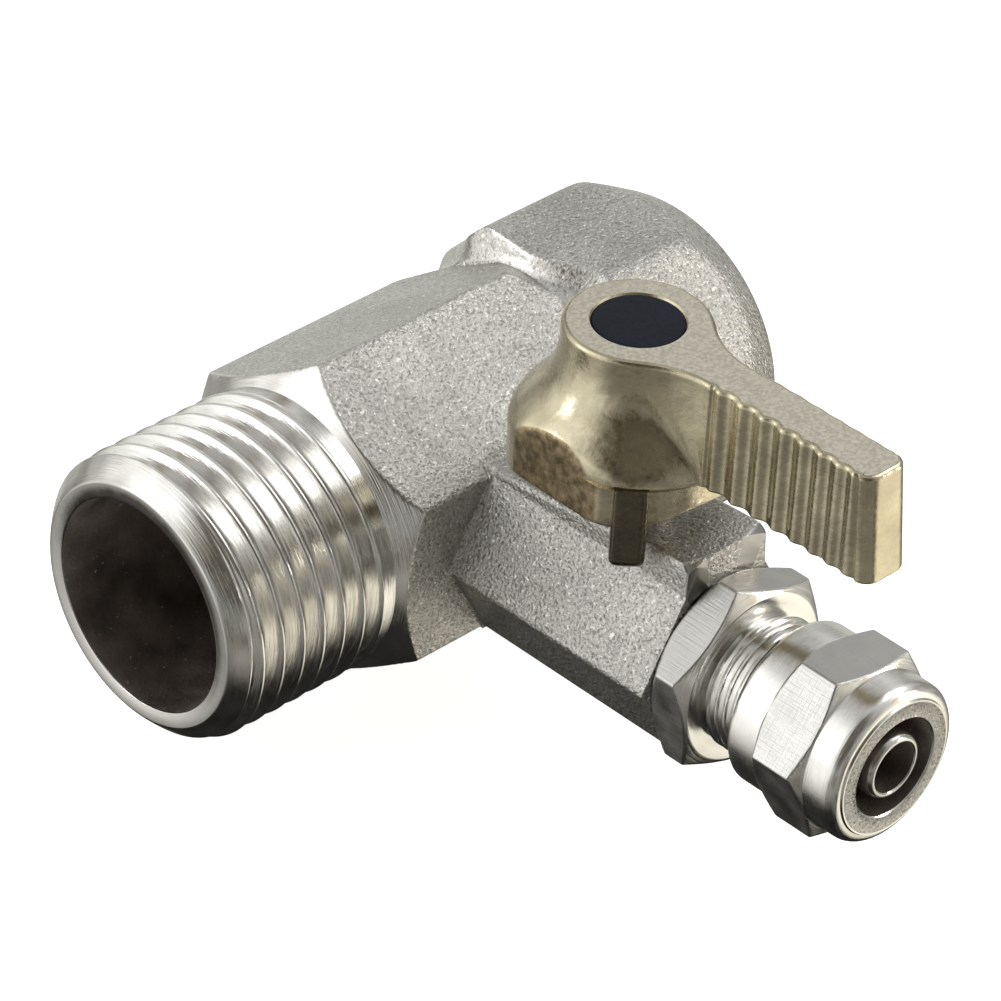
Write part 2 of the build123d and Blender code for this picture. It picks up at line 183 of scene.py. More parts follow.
class Finishes(bpy.types.PropertyGroup):
    """Colours of the finishes."""
    nickel: colour("Cast nickel", "Plate over the forged skin", (0.63, 0.62, 0.59))
    turned: colour("Turned nickel", "Plate over machined faces", (0.87, 0.86, 0.83))
    champagne: colour("Lever plate", "Warm plate on the lever", (0.60, 0.54, 0.39))
    flat: colour("Skirt flats", "Machined flats of the lever's skirt", (0.38, 0.30, 0.19))
    champagne_top: colour("Lever top", "Matt top face of the lever", (0.70, 0.665, 0.57))
    # The bore colour is near black as painted shade inside the bores and waterways.
    dark_bore: colour("Bore", "Dark unplated inside of the run", (0.105, 0.086, 0.072))
    cap: colour("Cap", "Moulded cap", (0.007, 0.010, 0.021))
    brass: colour("Brass", "Bare brass", (0.62, 0.45, 0.18))
    floor: colour("Floor", "Studio floor", (0.93, 0.93, 0.925))


# ---------------------------------------------------------------- shape formulas

def soft_min(a, b, width):
    """The lower of two surfaces with their crease rounded over about the given width."""
    return 0.5 * (a + b - np.sqrt((a - b) ** 2 + width ** 2))


def soft_max(a, b, width):
    """The higher of two surfaces with their crease rounded over about the given width."""
    return 0.5 * (a + b + np.sqrt((a - b) ** 2 + width ** 2))


def ramp(value, start, end):
    """Rises smoothly from 0 at start to 1 at end."""
    t = np.clip((value - start) / (end - start), 0, 1)
    return t * t * (3 - 2 * t)


def polygon_radius(theta, apothem, sides, corner, rounding):
    """Distance from the centre to a regular polygon whose corners are arcs of the given radius.

    Along a flat the radius is apothem / cos(angle from the flat's middle). Near a corner it is the far
    crossing of the ray with the corner's circle.
    """
    half = math.pi / sides
    from_flat = np.mod(theta - corner, 2 * half) - half
    from_corner = half - np.abs(from_flat)
    centre = (apothem - rounding) / math.cos(half)
    reach = np.maximum(rounding ** 2 - (centre * np.sin(from_corner)) ** 2, 0)
    arc = centre * np.cos(from_corner) + np.sqrt(reach)
    flat = apothem / np.cos(from_flat)
    on_flat = np.abs(np.tan(from_flat)) < (1 - rounding / apothem) * math.tan(half)
    return np.where(on_flat, flat, arc)


def thread_cut(offset, pitch, half_angle, rounding):
    """Depth below the crest at an axial offset from it: rounded crest, straight flank, rounded root."""
    half_angle = math.radians(half_angle)
    near = rounding * math.cos(half_angle)
    fall = rounding * (1 - math.sin(half_angle))
    total = (pitch / 2 - 2 * near) / math.tan(half_angle) + 2 * fall
    u = np.abs(offset)
    crest = rounding - np.sqrt(rounding ** 2 - np.minimum(u, near) ** 2)
    root = total - rounding + np.sqrt(rounding ** 2 - np.minimum(pitch / 2 - u, near) ** 2)
    flank = fall + (u - near) / math.tan(half_angle)
    return np.select([u < near, u > pitch / 2 - near], [crest, root], flank)


def crest_offset(along, theta, pitch, first):
    """Axial distance from the nearest crest of a right-handed helix."""
    turns = (along - first) / pitch - theta / TURN
    return (turns - np.round(turns)) * pitch


def smooth_curve(at, places, values):
    """Cubic curve through the given points with slopes from their neighbours, read at any place."""
    places = np.asarray(places, float)
    values = np.asarray(values, float)
    slopes = np.gradient(values, places)
    i = np.clip(np.searchsorted(places, at) - 1, 0, len(places) - 2)
    gap = places[i + 1] - places[i]
    t = np.clip((at - places[i]) / gap, 0, 1)
    rise = values[i] * (2 * t ** 3 - 3 * t ** 2 + 1) + values[i + 1] * (3 * t ** 2 - 2 * t ** 3)
    lean = gap * (slopes[i] * (t ** 3 - 2 * t ** 2 + t) + slopes[i + 1] * (t ** 3 - t ** 2))
    return rise + lean


def spaced(*stretches):
    """Places along a line: each stretch is (start, end, step), joined without repeats."""
    parts = [np.linspace(a, b, max(2, int(math.ceil(abs(b - a) / step)) + 1)) for a, b,
             step in stretches]
    joined = np.concatenate(parts)
    keep = np.ones(len(joined), bool)
    keep[1:] = np.abs(np.diff(joined)) > 1e-6
    return joined[keep]


def angles_round(count, corners=(), reach=2.2, extra=4):
    """Angles over a full turn, evenly spread with extra ones on both sides of each corner."""
    every = [np.arange(count) * TURN / count]
    for corner in corners:
        every.append(corner + np.radians(np.linspace(-reach, reach, 2 * extra + 1)))
    merged = np.unique(np.round(np.mod(np.concatenate(every), TURN), 5))
    gaps = np.diff(np.append(merged, merged[0] + TURN))
    return merged[gaps > math.radians(0.12)]


AXES = {
    "run": ((0, 0, 0), (1, 0, 0), (0, 1, 0), (0, 0, 1)),
    "branch": ((0, 0, 0), (0, -1, 0), (1, 0, 0), (0, 0, 1)),
    "stem": ((0, STEM_Y, 0), (0, 0, 1), (1, 0, 0), (0, 1, 0)),
}


def place(axis, along, across, upright):
    """Points from a distance along an axis and two offsets square to it."""
    origin, a, u, v = (np.array(part, float) for part in AXES[axis])
    along, across, upright = np.broadcast_arrays(np.asarray(along, float), across, upright)
    return origin + along[..., None] * a + across[..., None] * u + upright[..., None] * v


def lathe(axis, along, radius, theta):
    """Points at a radius and an angle round an axis; along and radius may change with the angle."""
    return place(axis, along, radius * np.cos(theta), radius * np.sin(theta))


def profile(axis, pairs, theta):
    """Points of plain turned rings, each given as (distance along the axis, radius)."""
    along, radius = (np.array(part, float)[:, None] for part in zip(*pairs))
    return lathe(axis, along, radius, theta)


# ---------------------------------------------------------------- meshes

def grid_quads(rows, columns, ring):
    """Corner numbers of a grid's quads, closed across its columns and, for a ring, across its rows."""
    i = np.arange(rows if ring else rows - 1)[:, None]
    j = np.arange(columns)[None, :]
    below, beside = (i + 1) % rows, (j + 1) % columns
    corners = [i * columns + j, i * columns + beside, below * columns + beside, below * columns + j]
    return np.stack(np.broadcast_arrays(*corners), -1).reshape(-1, 4)


def outward(points, quads):
    """The quads turned so that the volume they enclose is positive."""
    a, b, c, d = (points[quads[:, k]] for k in range(4))
    volume = np.einsum("ij,ij->", a, np.cross(b, c)) + np.einsum("ij,ij->", a, np.cross(c, d))
    return quads if volume > 0 else quads[:, ::-1]


def make_piece(name, shells, materials, body, replaced=()):
    """Mesh object from closed shells, each (points[rows, columns, 3], ring, face material numbers)."""
    vertices, faces, paint, count = [], [], [], 0
    for points, ring, numbers in shells:
        rows, columns = points.shape[:2]
        flat = points.reshape(-1, 3)
        quads = grid_quads(rows, columns, ring)
        numbers = np.broadcast_to(np.asarray(numbers), (len(quads) // columns, columns)).reshape(-1)
        faces.append(outward(flat, quads) + count)
        vertices.append(flat)
        paint.append(numbers)
        count += len(flat)
    vertices, faces, paint = np.concatenate(vertices), np.concatenate(faces), np.concatenate(paint)
    mesh = bpy.data.meshes.new(name)
    mesh.vertices.add(len(vertices))
    mesh.vertices.foreach_set("co", (vertices * MM).astype(np.float32).ravel())
    mesh.loops.add(faces.size)
    mesh.loops.foreach_set("vertex_index", faces.astype(np.int32).ravel())
    mesh.polygons.add(len(faces))
    mesh.polygons.foreach_set("loop_start", np.arange(0, faces.size, 4, dtype=np.int32))
    mesh.polygons.foreach_set("material_index", paint.astype(np.int32))
    mesh.update(calc_edges=True)
    welded = bmesh.new()
    welded.from_mesh(mesh)
    bmesh.ops.remove_doubles(welded, verts=welded.verts, dist=WELD_MM * MM)
    welded.to_mesh(mesh)
    welded.free()
    if mesh.validate():
        raise RuntimeError(f"{name} had faces that had to be repaired")
    mesh.polygons.foreach_set("use_smooth", np.ones(len(mesh.polygons), bool))
    mesh.set_sharp_from_angle(angle=SHARP_ANGLE)
    piece = bpy.data.objects.new(name, mesh)
    bpy.context.scene.collection.objects.link(piece)
    for material in materials:
        mesh.materials.append(material)
    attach(piece, body)
    if replaced:
        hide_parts(*replaced)
    return piece


def pole_rows(points):
    """The grid with its first and last rows drawn in to their middles, which closes both ends."""
    ends = [np.broadcast_to(row.mean(0), row.shape) for row in (points[0], points[-1])]
    return np.concatenate([ends[0][None], points, ends[1][None]])


# ---------------------------------------------------------------- body

def spigot_shell(size):
    """Male end: radius is the thread's helix under a rounded end chamfer, raised to the run-out band."""
    theta = angles_round(240)
    end = BODY_LOW[0]
    stop = size.hex_cone_start + 0.4
    pitch = size.thread_pitch
    first = end + 1.7 - pitch * 0.375
    x = spaced((end, end + 0.5, 0.08), (end + 0.5, size.thread_end, 0.066),
               (size.thread_end, stop, 0.12))
    along = x[:, None]
    helix = PIPE_MAJOR_R - thread_cut(crest_offset(along, theta, pitch, first), pitch, *PIPE_FORM)
    fade = ramp(along, size.thread_start, size.thread_start + 0.7)
    fade = fade * (1 - ramp(along, size.thread_end - 1.0, size.thread_end - 0.3))
    helix = PIPE_MAJOR_R - (PIPE_MAJOR_R - helix) * fade
    chamfer_length = 1.75
    chamfer = size.face_radius + chamfer_length * np.clip((along - end) / chamfer_length, 0,
                                                          3) ** 0.85
    band = PIPE_MAJOR_R - (PIPE_MAJOR_R - size.band_radius) * ramp(
        along, size.thread_end - 0.55, size.thread_end - 0.3)
    outer = soft_min(soft_min(helix, chamfer, 0.12), band + 0.03, 0.05)
    outer[0] = size.face_radius
    face = [(end + 0.12, BORE_R), (end + 0.04, BORE_R + 0.03), (end, BORE_R + 0.1),
            (end, size.face_radius - 0.06)]
    bore = [(stop, BORE_R + 1.0)] + [(place_x, BORE_R) for place_x in (stop, stop - 4, end + 6,
                                                                       end + 1)]
    points = np.concatenate([profile("run", face, theta), lathe("run", along, outer, theta),
                             profile("run", bore, theta)])
    paint = np.zeros((len(points), 1), int)
    paint[-len(bore):] = 1
    return points, True, paint


def run_shell(size):
    """Hexagonal run, neck and octagonal collar outside; threaded port, floor and bore inside."""
    hex_corners = math.pi / 6 + np.arange(6) * TURN / 6
    oct_corners = math.pi / 8 + np.arange(8) * TURN / 8
    theta = angles_round(144, np.concatenate([hex_corners, oct_corners]), 3.0, 4)
    apothem, neck = size.hex_apothem, size.neck
    end = BODY_HIGH[0]
    start = size.hex_cone_start - 0.7
    x = spaced((start, start + 2.4, 0.075), (start + 2.4, size.ridge_end - 0.5, 0.9),
               (size.ridge_end - 0.5, neck + 3.6, 0.09), (neck + 3.6, end - 6, 0.6),
               (end - 6, end - 0.8, 0.16),
               (end - 0.8, end, 0.05))
    along = x[:, None]
    hexagon = polygon_radius(theta, apothem, 6, math.pi / 6, 0.45)
    cone = apothem + (along - size.hex_cone_start) * 1.24
    fall = size.neck_radius + (neck - along) * 0.5625
    run = soft_min(soft_min(hexagon, cone, 0.05), fall, 0.10)
    octagon = polygon_radius(theta, size.collar_apothem, 8, math.pi / 8, size.collar_round)
    stretch = 0.26 + 0.74 * ramp(-np.cos(theta), -0.10, 0.36) + 1.1 * ramp(np.cos(theta), 0.5, 0.8)
    reach = np.clip(along - neck, 0, 7) / stretch
    flare = size.neck_radius + 0.22 * reach + 0.17 * reach ** 2.2
    mouth = size.mouth_radius + 0.55 * (end - along) - 0.25 * np.exp((along - end) / 0.35)
    collar = soft_min(soft_min(octagon, flare, 0.3), mouth, 0.35)
    step = ramp(along, neck - 0.05, neck + 0.12)
    outer = run * (1 - step) + collar * step
    outer[-1] = size.mouth_radius - 0.25
    turned = np.where((along < neck) & (cone < hexagon + 0.02), 1, 0)
    turned = np.where((along > neck) & (flare < octagon), 3, turned)
    pitch = size.thread_pitch
    floor = size.port_floor
    port_x = spaced((end - 1.6, floor + 1.9, 0.085))[:, None]
    groove = PIPE_MAJOR_R - thread_cut(crest_offset(port_x, theta, pitch, end - 2.5), pitch,
                                       *PIPE_FORM)
    groove = np.maximum(groove, PIPE_MINOR_R)
    fade = ramp(port_x, floor + 2.0, floor + 2.6)
    groove = PIPE_MINOR_R + (groove - PIPE_MINOR_R) * fade
    mouth_cone = PIPE_MAJOR_R + 0.1 - (end - port_x) * 0.8
    groove = soft_max(groove, mouth_cone, 0.05)
    entry = [(end, PIPE_MAJOR_R + 0.14), (end - 0.05, PIPE_MAJOR_R + 0.06)]
    undercut, back = size.undercut_radius, size.hex_cone_start + 0.4
    inner = [(floor + 1.8, PIPE_MINOR_R), (floor + 1.75, undercut), (floor + 0.05, undercut),
             (floor, undercut - 0.05), (floor, BORE_R + 0.1), (floor - 0.1, BORE_R), (0, BORE_R),
             (-8, BORE_R),
             (back, BORE_R), (back, BORE_R + 0.25), (start, BORE_R + 0.25)]
    points = np.concatenate([lathe("run", along, outer, theta), profile("run", entry, theta),
                             lathe("run", port_x, groove, theta), profile("run", inner, theta)])
    paint = np.ones((len(points), len(theta)), int)
    paint[:len(x)] = turned
    paint[-6:] = 2
    return points, True, paint


def rounded_outline(corners, radii, fill, steps=5):
    """Closed outline through corners whose places may change from row to row.

    Each corner is a quadratic curve that starts and ends its radius away along the two sides; the flats
    between them are cut into pieces no longer than fill, counted on the first row.
    """
    count = len(corners)
    columns = []
    t = np.linspace(0, 1, steps + 1)
    for k in range(count):
        before, here, after = corners[k - 1], corners[k], corners[(k + 1) % count]
        back = (before - here) / np.linalg.norm(before - here, axis=1, keepdims=True)
        ahead = (after - here) / np.linalg.norm(after - here, axis=1, keepdims=True)
        a, b = here + back * radii[k], here + ahead * radii[k]
        curve = [(1 - s) ** 2 * a + 2 * s * (1 - s) * here + s * s * b for s in t]
        columns += curve
        next_start = after - ahead * radii[(k + 1) % count]
        pieces = max(1, int(round(np.linalg.norm(next_start[0] - b[0]) / fill)))
        columns += [b + (next_start - b) * n / pieces for n in range(1, pieces)]
    return np.stack(columns, 1)


def branch_shell(size):
    """Branch: the hexagon with its pad carried from the run to the mouth, turned down at the end."""
    end = -BODY_LOW[1]
    apothem = size.hex_apothem
    half = size.branch_apothem
    corner = half / math.cos(math.pi / 6)
    share = np.concatenate([np.linspace(-0.06, 0.06, 19), np.linspace(0.09, 0.88, 24),
                            np.linspace(0.905, 1, 30)])
    reach = apothem + share * (end - apothem)
    pad_top = smooth_curve(reach, (9.5, 11, 17, 20.3, 26, end), (
        size.pad_root, size.pad_root + 0.1, size.pad_root + 0.6, size.pad_root + 0.9,
        size.pad_end - 0.2, size.pad_end))
    facet_z = (corner - size.pad_right) * math.tan(math.pi / 3)
    still = np.ones_like(reach)
    corners = [np.stack([still * x, still * z], 1) for x, z in (
        (corner, 0.0), (size.pad_right, facet_z), (size.pad_right, pad_top),
        (size.pad_left, pad_top),
        (size.pad_left, half), (-corner, 0.0), (-corner / 2, -half), (corner / 2, -half))]
    radii = [0.35, 0.2, 0.45, 0.45, 0.12, 0.3, 0.4, 0.4]
    outline = rounded_outline(corners, radii, 0.32)
    x, z = outline[..., 0], outline[..., 1]
    facet_start = apothem - np.maximum(np.abs(z) - apothem * math.tan(math.pi / 6),
                                       0) * math.tan(math.pi / 3)
    along = facet_start + (reach[:, None] - apothem) * (end - facet_start) / (end - apothem)
    flat_radius = np.hypot(x, z)
    angle = np.arctan2(z, x)
    from_run = np.maximum(along, 0.5 * along + 0.866 * np.abs(z)) - apothem
    fillet = 0.25
    inside = np.clip(fillet - from_run, 0, fillet)
    swell = fillet - np.sqrt(fillet ** 2 - inside ** 2)
    chamfer = size.branch_face + (end - along) * 0.8
    radius = soft_min(flat_radius + swell, chamfer, 0.06)
    radius[-1] = np.minimum(radius[-1], size.branch_face)
    turned = np.where(chamfer < flat_radius, 1, 0)
    socket_floor, chamber_floor = end - 4.55, 14.9
    inner = [(end, SOCKET_R + 0.06), (end - 0.06, SOCKET_R), (socket_floor, SOCKET_R),
             (socket_floor, CHAMBER_R), (chamber_floor, CHAMBER_R), (chamber_floor, PORT_R),
             (8.2, PORT_R)]
    points = np.concatenate([lathe("branch", along, radius, angle),
                             profile("branch", inner, angle[-1])])
    paint = np.ones((len(points), x.shape[1]), int)
    paint[:len(turned)] = turned
    return points, True, paint


def boss_shell(size):
    """The stem's boss: a short turned tube that stands in the pad."""
    theta = angles_round(96)
    root, top, radius, hole = 5.6, size.boss_top, size.boss_radius, 2.5
    rings = [(root, radius), (top - 0.25, radius), (top - 0.07, radius - 0.07),
             (top, radius - 0.25),
             (top, hole + 0.15), (top - 0.15, hole), (root, hole)]
    return profile("stem", rings, theta), True, 1


def cut_port(piece, size):
    """Drill the branch's port through the run's wall."""
    theta = angles_round(64)
    points = pole_rows(profile("branch", [(3.0, PORT_R), (size.hex_apothem + 2.0, PORT_R)], theta))
    cutter = make_piece("port_drill", [(points, False, 0)], piece.data.materials[:1], "body")
    cut = piece.modifiers.new("port", "BOOLEAN")
    cut.operation = "DIFFERENCE"
    cut.solver = "EXACT"
    cut.object = cutter
    shaped = bpy.data.meshes.new_from_object(piece.evaluated_get(bpy.context.evaluated_depsgraph_get()))
    piece.modifiers.remove(cut)
    if len(shaped.polygons) < len(piece.data.polygons) // 2:
        raise RuntimeError("the port could not be drilled")
    piece.data = shaped
    bpy.data.objects.remove(cutter)


# ---------------------------------------------------------------- lever

RIM_Z = 14.1
HUB_KEYS = ((RIM_Z, 8.15), (14.5, 7.99), (15.0, 7.73), (15.9, 7.02), (16.8, 6.27), (17.7, 5.74),
            (18.8, 5.33), (20.0, 5.12), (21.0, 5.07), (22.0, 5.07))
ARM_JOIN = -8.2
ARM_FLOOR = 13.9
EASED = (28, 60)


def lever_half(size, height, ribbed):
    """Right half of the lever's plan outline at each height, from the back of the hub to the arm's tip.

    The hub is an arc of the bell's radius, a hollow arc tangent to hub and arm joins them at a fixed
    place along the arm, and the arm's side is a line less the grooves between its ridges. The columns
    EASED, where the arcs meet, are averaged with their neighbours to soften the change of curve.
    """
    keys = np.array(HUB_KEYS)
    hub = smooth_curve(height, keys[:, 0], keys[:, 1])[:, None]
    half = size.arm_half - 0.05
    hollow = np.maximum((half ** 2 + ARM_JOIN ** 2 - hub ** 2) / (2 * (hub - half)), 0.05)
    centre = half + hollow
    meet = np.arctan2(ARM_JOIN, centre)
    s = np.linspace(0, 1, 44)
    angle = math.pi / 2 + (meet - math.pi / 2) * s
    hub_x = hub * np.cos(angle)
    over = hub_x > size.skirt_flat - 1.4
    crease = 0.3 - 0.16 * ramp(height, 14.0, 14.5)[:, None]
    hub_x = np.where(over, soft_min(hub_x, size.skirt_flat, crease), hub_x)
    hub_y = hub * np.sin(angle)
    s = np.linspace(0, 1, 22)[1:]
    turn = (meet + math.pi) + (math.pi - (meet + math.pi)) * s
    neck_x = centre + hollow * np.cos(turn)
    neck_y = ARM_JOIN + hollow * np.sin(turn)
    tip = LEVER_LOW[1] - STEM_Y
    corner = 1.15
    y = np.linspace(ARM_JOIN, tip + corner, 132)[1:]
    k = np.arange(8)[:, None]
    ridges = ARM_JOIN - 0.75 - 2.03 * k + 0.046 * k ** 2
    ridge = np.exp(-((y - ridges) / 0.60) ** 2).sum(0)
    beyond = ramp(y, ridges.min() - 0.2, ridges.min() - 0.9)
    before = ramp(y, ARM_JOIN - 0.5, ARM_JOIN)
    shape = np.clip(np.maximum(ridge, np.maximum(beyond, before)), 0, 1)
    line = half + 0.05 * ramp(y, ARM_JOIN, ARM_JOIN - 0.8)
    side = line - size.rib_depth * (1 - shape) * ribbed[:, None]
    q = np.linspace(0, math.pi / 2, 10)[1:]
    corner_x = half + 0.05 - corner * (1 - np.cos(q))
    corner_y = tip + corner * (1 - np.sin(q))
    end_x = np.array([0.4, 0.0])
    rows = len(height)

    def each(values):
        return np.broadcast_to(values, (rows, len(values)))

    bell = np.stack([np.concatenate([hub_x, neck_x], 1), np.concatenate([hub_y, neck_y], 1)])
    first, last = EASED
    for _ in range(14):
        before_it, it, after_it = (bell[..., first + k:last + k] for k in (-1, 0, 1))
        bell[..., first:last] = (before_it + 2 * it + after_it) / 4
    x = np.concatenate([bell[0], side, each(corner_x), each(end_x)], 1)
    y_all = np.concatenate([bell[1], each(y), each(corner_y), each(np.full(2, tip))], 1)
    return x, y_all


def whole_outline(size, height, ribbed):
    """Both sides of the plan outline; the +X side's grooves are the shallow ones."""
    x, y = lever_half(size, height, ribbed * 0.25)
    deep_x, deep_y = lever_half(size, height, ribbed)
    return np.concatenate([x, -deep_x[:, -2:0:-1]], 1), np.concatenate([y, deep_y[:, -2:0:-1]], 1)


def drafted(x, y, height):
    """The outline with the arm's draft: the tip and one side stand further out towards the underside."""
    down = ((LEVER_HIGH[2] - height) / (LEVER_HIGH[2] - ARM_FLOOR))[:, None]
    wider = np.where(x > 0, 0.12 + 0.2 * down, 0) * ramp(-y, 9, 12)
    return x + wider, y + (0.4 - 0.65 * down) * ramp(-y, 20.4, 22.2)


def shrink(x, y, inset):
    """The outline moved inwards along its own normals by an inset for each row."""
    dx = np.roll(x, -1, 1) - np.roll(x, 1, 1)
    dy = np.roll(y, -1, 1) - np.roll(y, 1, 1)
    size = np.hypot(dx, dy) + 1e-9
    return x + dy / size * inset[:, None], y - dx / size * inset[:, None]


def lever_shell(size):
    """Bell, arm and rims outside; cap pocket, screw hole and square socket inside."""
    top, under = LEVER_HIGH[2], size.arm_underside
    rim = size.rim_round
    q = np.radians([0, 15, 30, 45, 60, 75, 90])
    low_z = under + 0.18 * (1 - np.sin(q[::-1]))
    low_in = 0.18 * (1 - np.cos(q[::-1]))
    high_z = top - rim + rim * np.sin(q)
    high_in = rim * (1 - np.cos(q))
    middle = spaced((RIM_Z + 0.02, 16.6, 0.12), (16.6, top - rim - 0.1, 0.28))
    z = np.concatenate([low_z, middle, high_z])
    inset = np.concatenate([low_in, np.zeros(len(middle)), high_in])
    ribbed = np.ones(len(z))
    x, y = drafted(*whole_outline(size, z, ribbed), z)
    hub_low = ramp(np.hypot(x, y), 9.5, 8.3)
    x_in, y_in = shrink(x, y, inset)
    lower = (z < RIM_Z)[:, None]
    x = np.where(lower, x + (x_in - x) * (1 - hub_low), x_in)
    y = np.where(lower, y + (y_in - y) * (1 - hub_low), y_in)
    ends = np.array([under + 0.01, top])
    plain_x, plain_y = drafted(*whole_outline(size, ends, np.zeros(2)), ends)
    polar = np.unwrap(np.arctan2(plain_y[1], plain_x[1]))
    inner_x, inner_y = shrink(plain_x, plain_y, np.array([0.75, 0.75]))
    floor_x, roof_x = inner_x[:1], inner_x[1:]
    floor_y, roof_y = inner_y[:1], inner_y[1:]
    outside = np.concatenate([place("stem", under, floor_x, floor_y),
                              place("stem", z[:, None], x, y),
                              place("stem", top, roof_x, roof_y)])
    pocket = size.pocket
    square = polygon_radius(polar, 1.66, 4, math.pi / 4, 0.15)
    wells = [(top, pocket + 0.12), (top - 0.12, pocket), (18.25, pocket), (18.2, pocket - 0.05),
             (18.2, 1.6),
             (17.4, 1.6)]
    inside = [lathe("stem", height, square[None, :], polar) for height in (17.4, under)]
    points = np.concatenate([outside, profile("stem", wells, polar)] + inside)
    paint = np.zeros((len(points), points.shape[1]), int)
    roof_row = len(outside) - 2
    paint[roof_row:roof_row + 2] = 1
    return points, True, paint


def skirt_shell(size):
    """Skirt under the bell: a ring with two flats whose lower edge rises towards the arm."""
    outer = HUB_KEYS[0][1]
    under = size.arm_underside
    flat_edge = math.acos(size.skirt_flat / outer)
    edges = np.array([flat_edge, -flat_edge, math.pi - flat_edge, math.pi + flat_edge])
    theta = angles_round(180, edges, 2.0, 3)
    across = outer * np.cos(theta)
    limited = np.sign(across) * soft_min(np.abs(across), size.skirt_flat, 0.3)
    across = np.where(np.abs(across) > size.skirt_flat - 1.4, limited, across)
    upright = outer * np.sin(theta)
    front = np.abs(np.mod(theta + math.pi / 2 + math.pi, TURN) - math.pi)
    bottom = 10.9 + 1.15 * (1 - ramp(front, math.radians(8), math.radians(48)))
    round_off = 0.22
    q = np.radians([90, 70, 50, 30, 15, 0])
    rows = [(bottom + round_off * (1 - math.sin(a)), round_off * (1 - math.cos(a))) for a in q]
    rows += [(bottom + (under - bottom) * s, 0.0) for s in (0.3, 0.6, 1.0)]
    shrunk = [(z, 1 - inset / outer) for z, inset in rows]
    outside = [place("stem", z[None, :], (across * k)[None, :], (upright * k)[None, :]) for z,
               k in shrunk]
    angle = np.arctan2(upright, across)
    inside = [lathe("stem", z, size.hollow, angle[None, :]) for z in (under, under - 1.5, bottom)]
    return np.concatenate(outside + inside), True, 0


def lug_shell(size):
    """Stop lug: an upright post with rounded corners and a rounded foot."""
    bottom = LEVER_LOW[2] + 0.25
    half_w, half_d = size.lug_width / 2, 0.85
    theta = angles_round(56)
    reach, power = 7.45, 0.42
    shape_u = half_d * np.sign(np.cos(theta)) * np.abs(np.cos(theta)) ** power
    shape_v = half_w * np.sign(np.sin(theta)) * np.abs(np.sin(theta)) ** power
    q = np.radians([90, 78, 64, 50, 36, 22, 10, 0])
    foot = 0.55
    z = np.concatenate([bottom + foot * (1 - np.sin(q)), [10.0, 12.0, 14.0]])
    scale = np.concatenate([1 - 0.5 * (1 - np.cos(q)), [1, 1, 1]])
    u = reach + shape_u[None, :] * scale[:, None]
    v = shape_v[None, :] * scale[:, None]
    turn = math.radians(225)
    x = u * math.cos(turn) - v * math.sin(turn)
    y = u * math.sin(turn) + v * math.cos(turn)
    return pole_rows(place("stem", z[:, None], x, y)), False, 2


def cap_shell():
    """Cap: a thin disc with a softened edge and a very slight crown."""
    theta = angles_round(96)
    low, high = box_mm("handle_cap")
    radius = (high[0] - low[0]) / 2
    top = high[2] - 0.03
    s = np.array([0.0, 0.35, 0.7, 0.9])
    crown_r = radius * s
    crown_z = top - 0.03 * s ** 2
    edge_r = radius * np.array([0.97, 0.988, 0.997, 1.0, 1.0, 0.98, 0.5, 0.0])
    edge_z = np.array([top - 0.035, top - 0.06, top - 0.12, top - 0.2, low[2] + 0.1,
                       low[2], low[2], low[2]])
    r = np.concatenate([crown_r, edge_r])[:, None]
    z = np.concatenate([crown_z, edge_z])[:, None]
    return lathe("stem", z, np.maximum(r, 0), theta), False, 0


# ---------------------------------------------------------------- outlet

CONNECTOR_CORNER, NUT_CORNER = math.radians(102), math.radians(114.5)
CONNECTOR_HEX_END, FINE_CREST, FINE_END = 32.2, 33.1, 38.1
NUT_HEX_LOW, NUT_HEX_HIGH = 38.25, 42.06
GUIDE_R, BARB_NECK_R = 4.98, 2.2


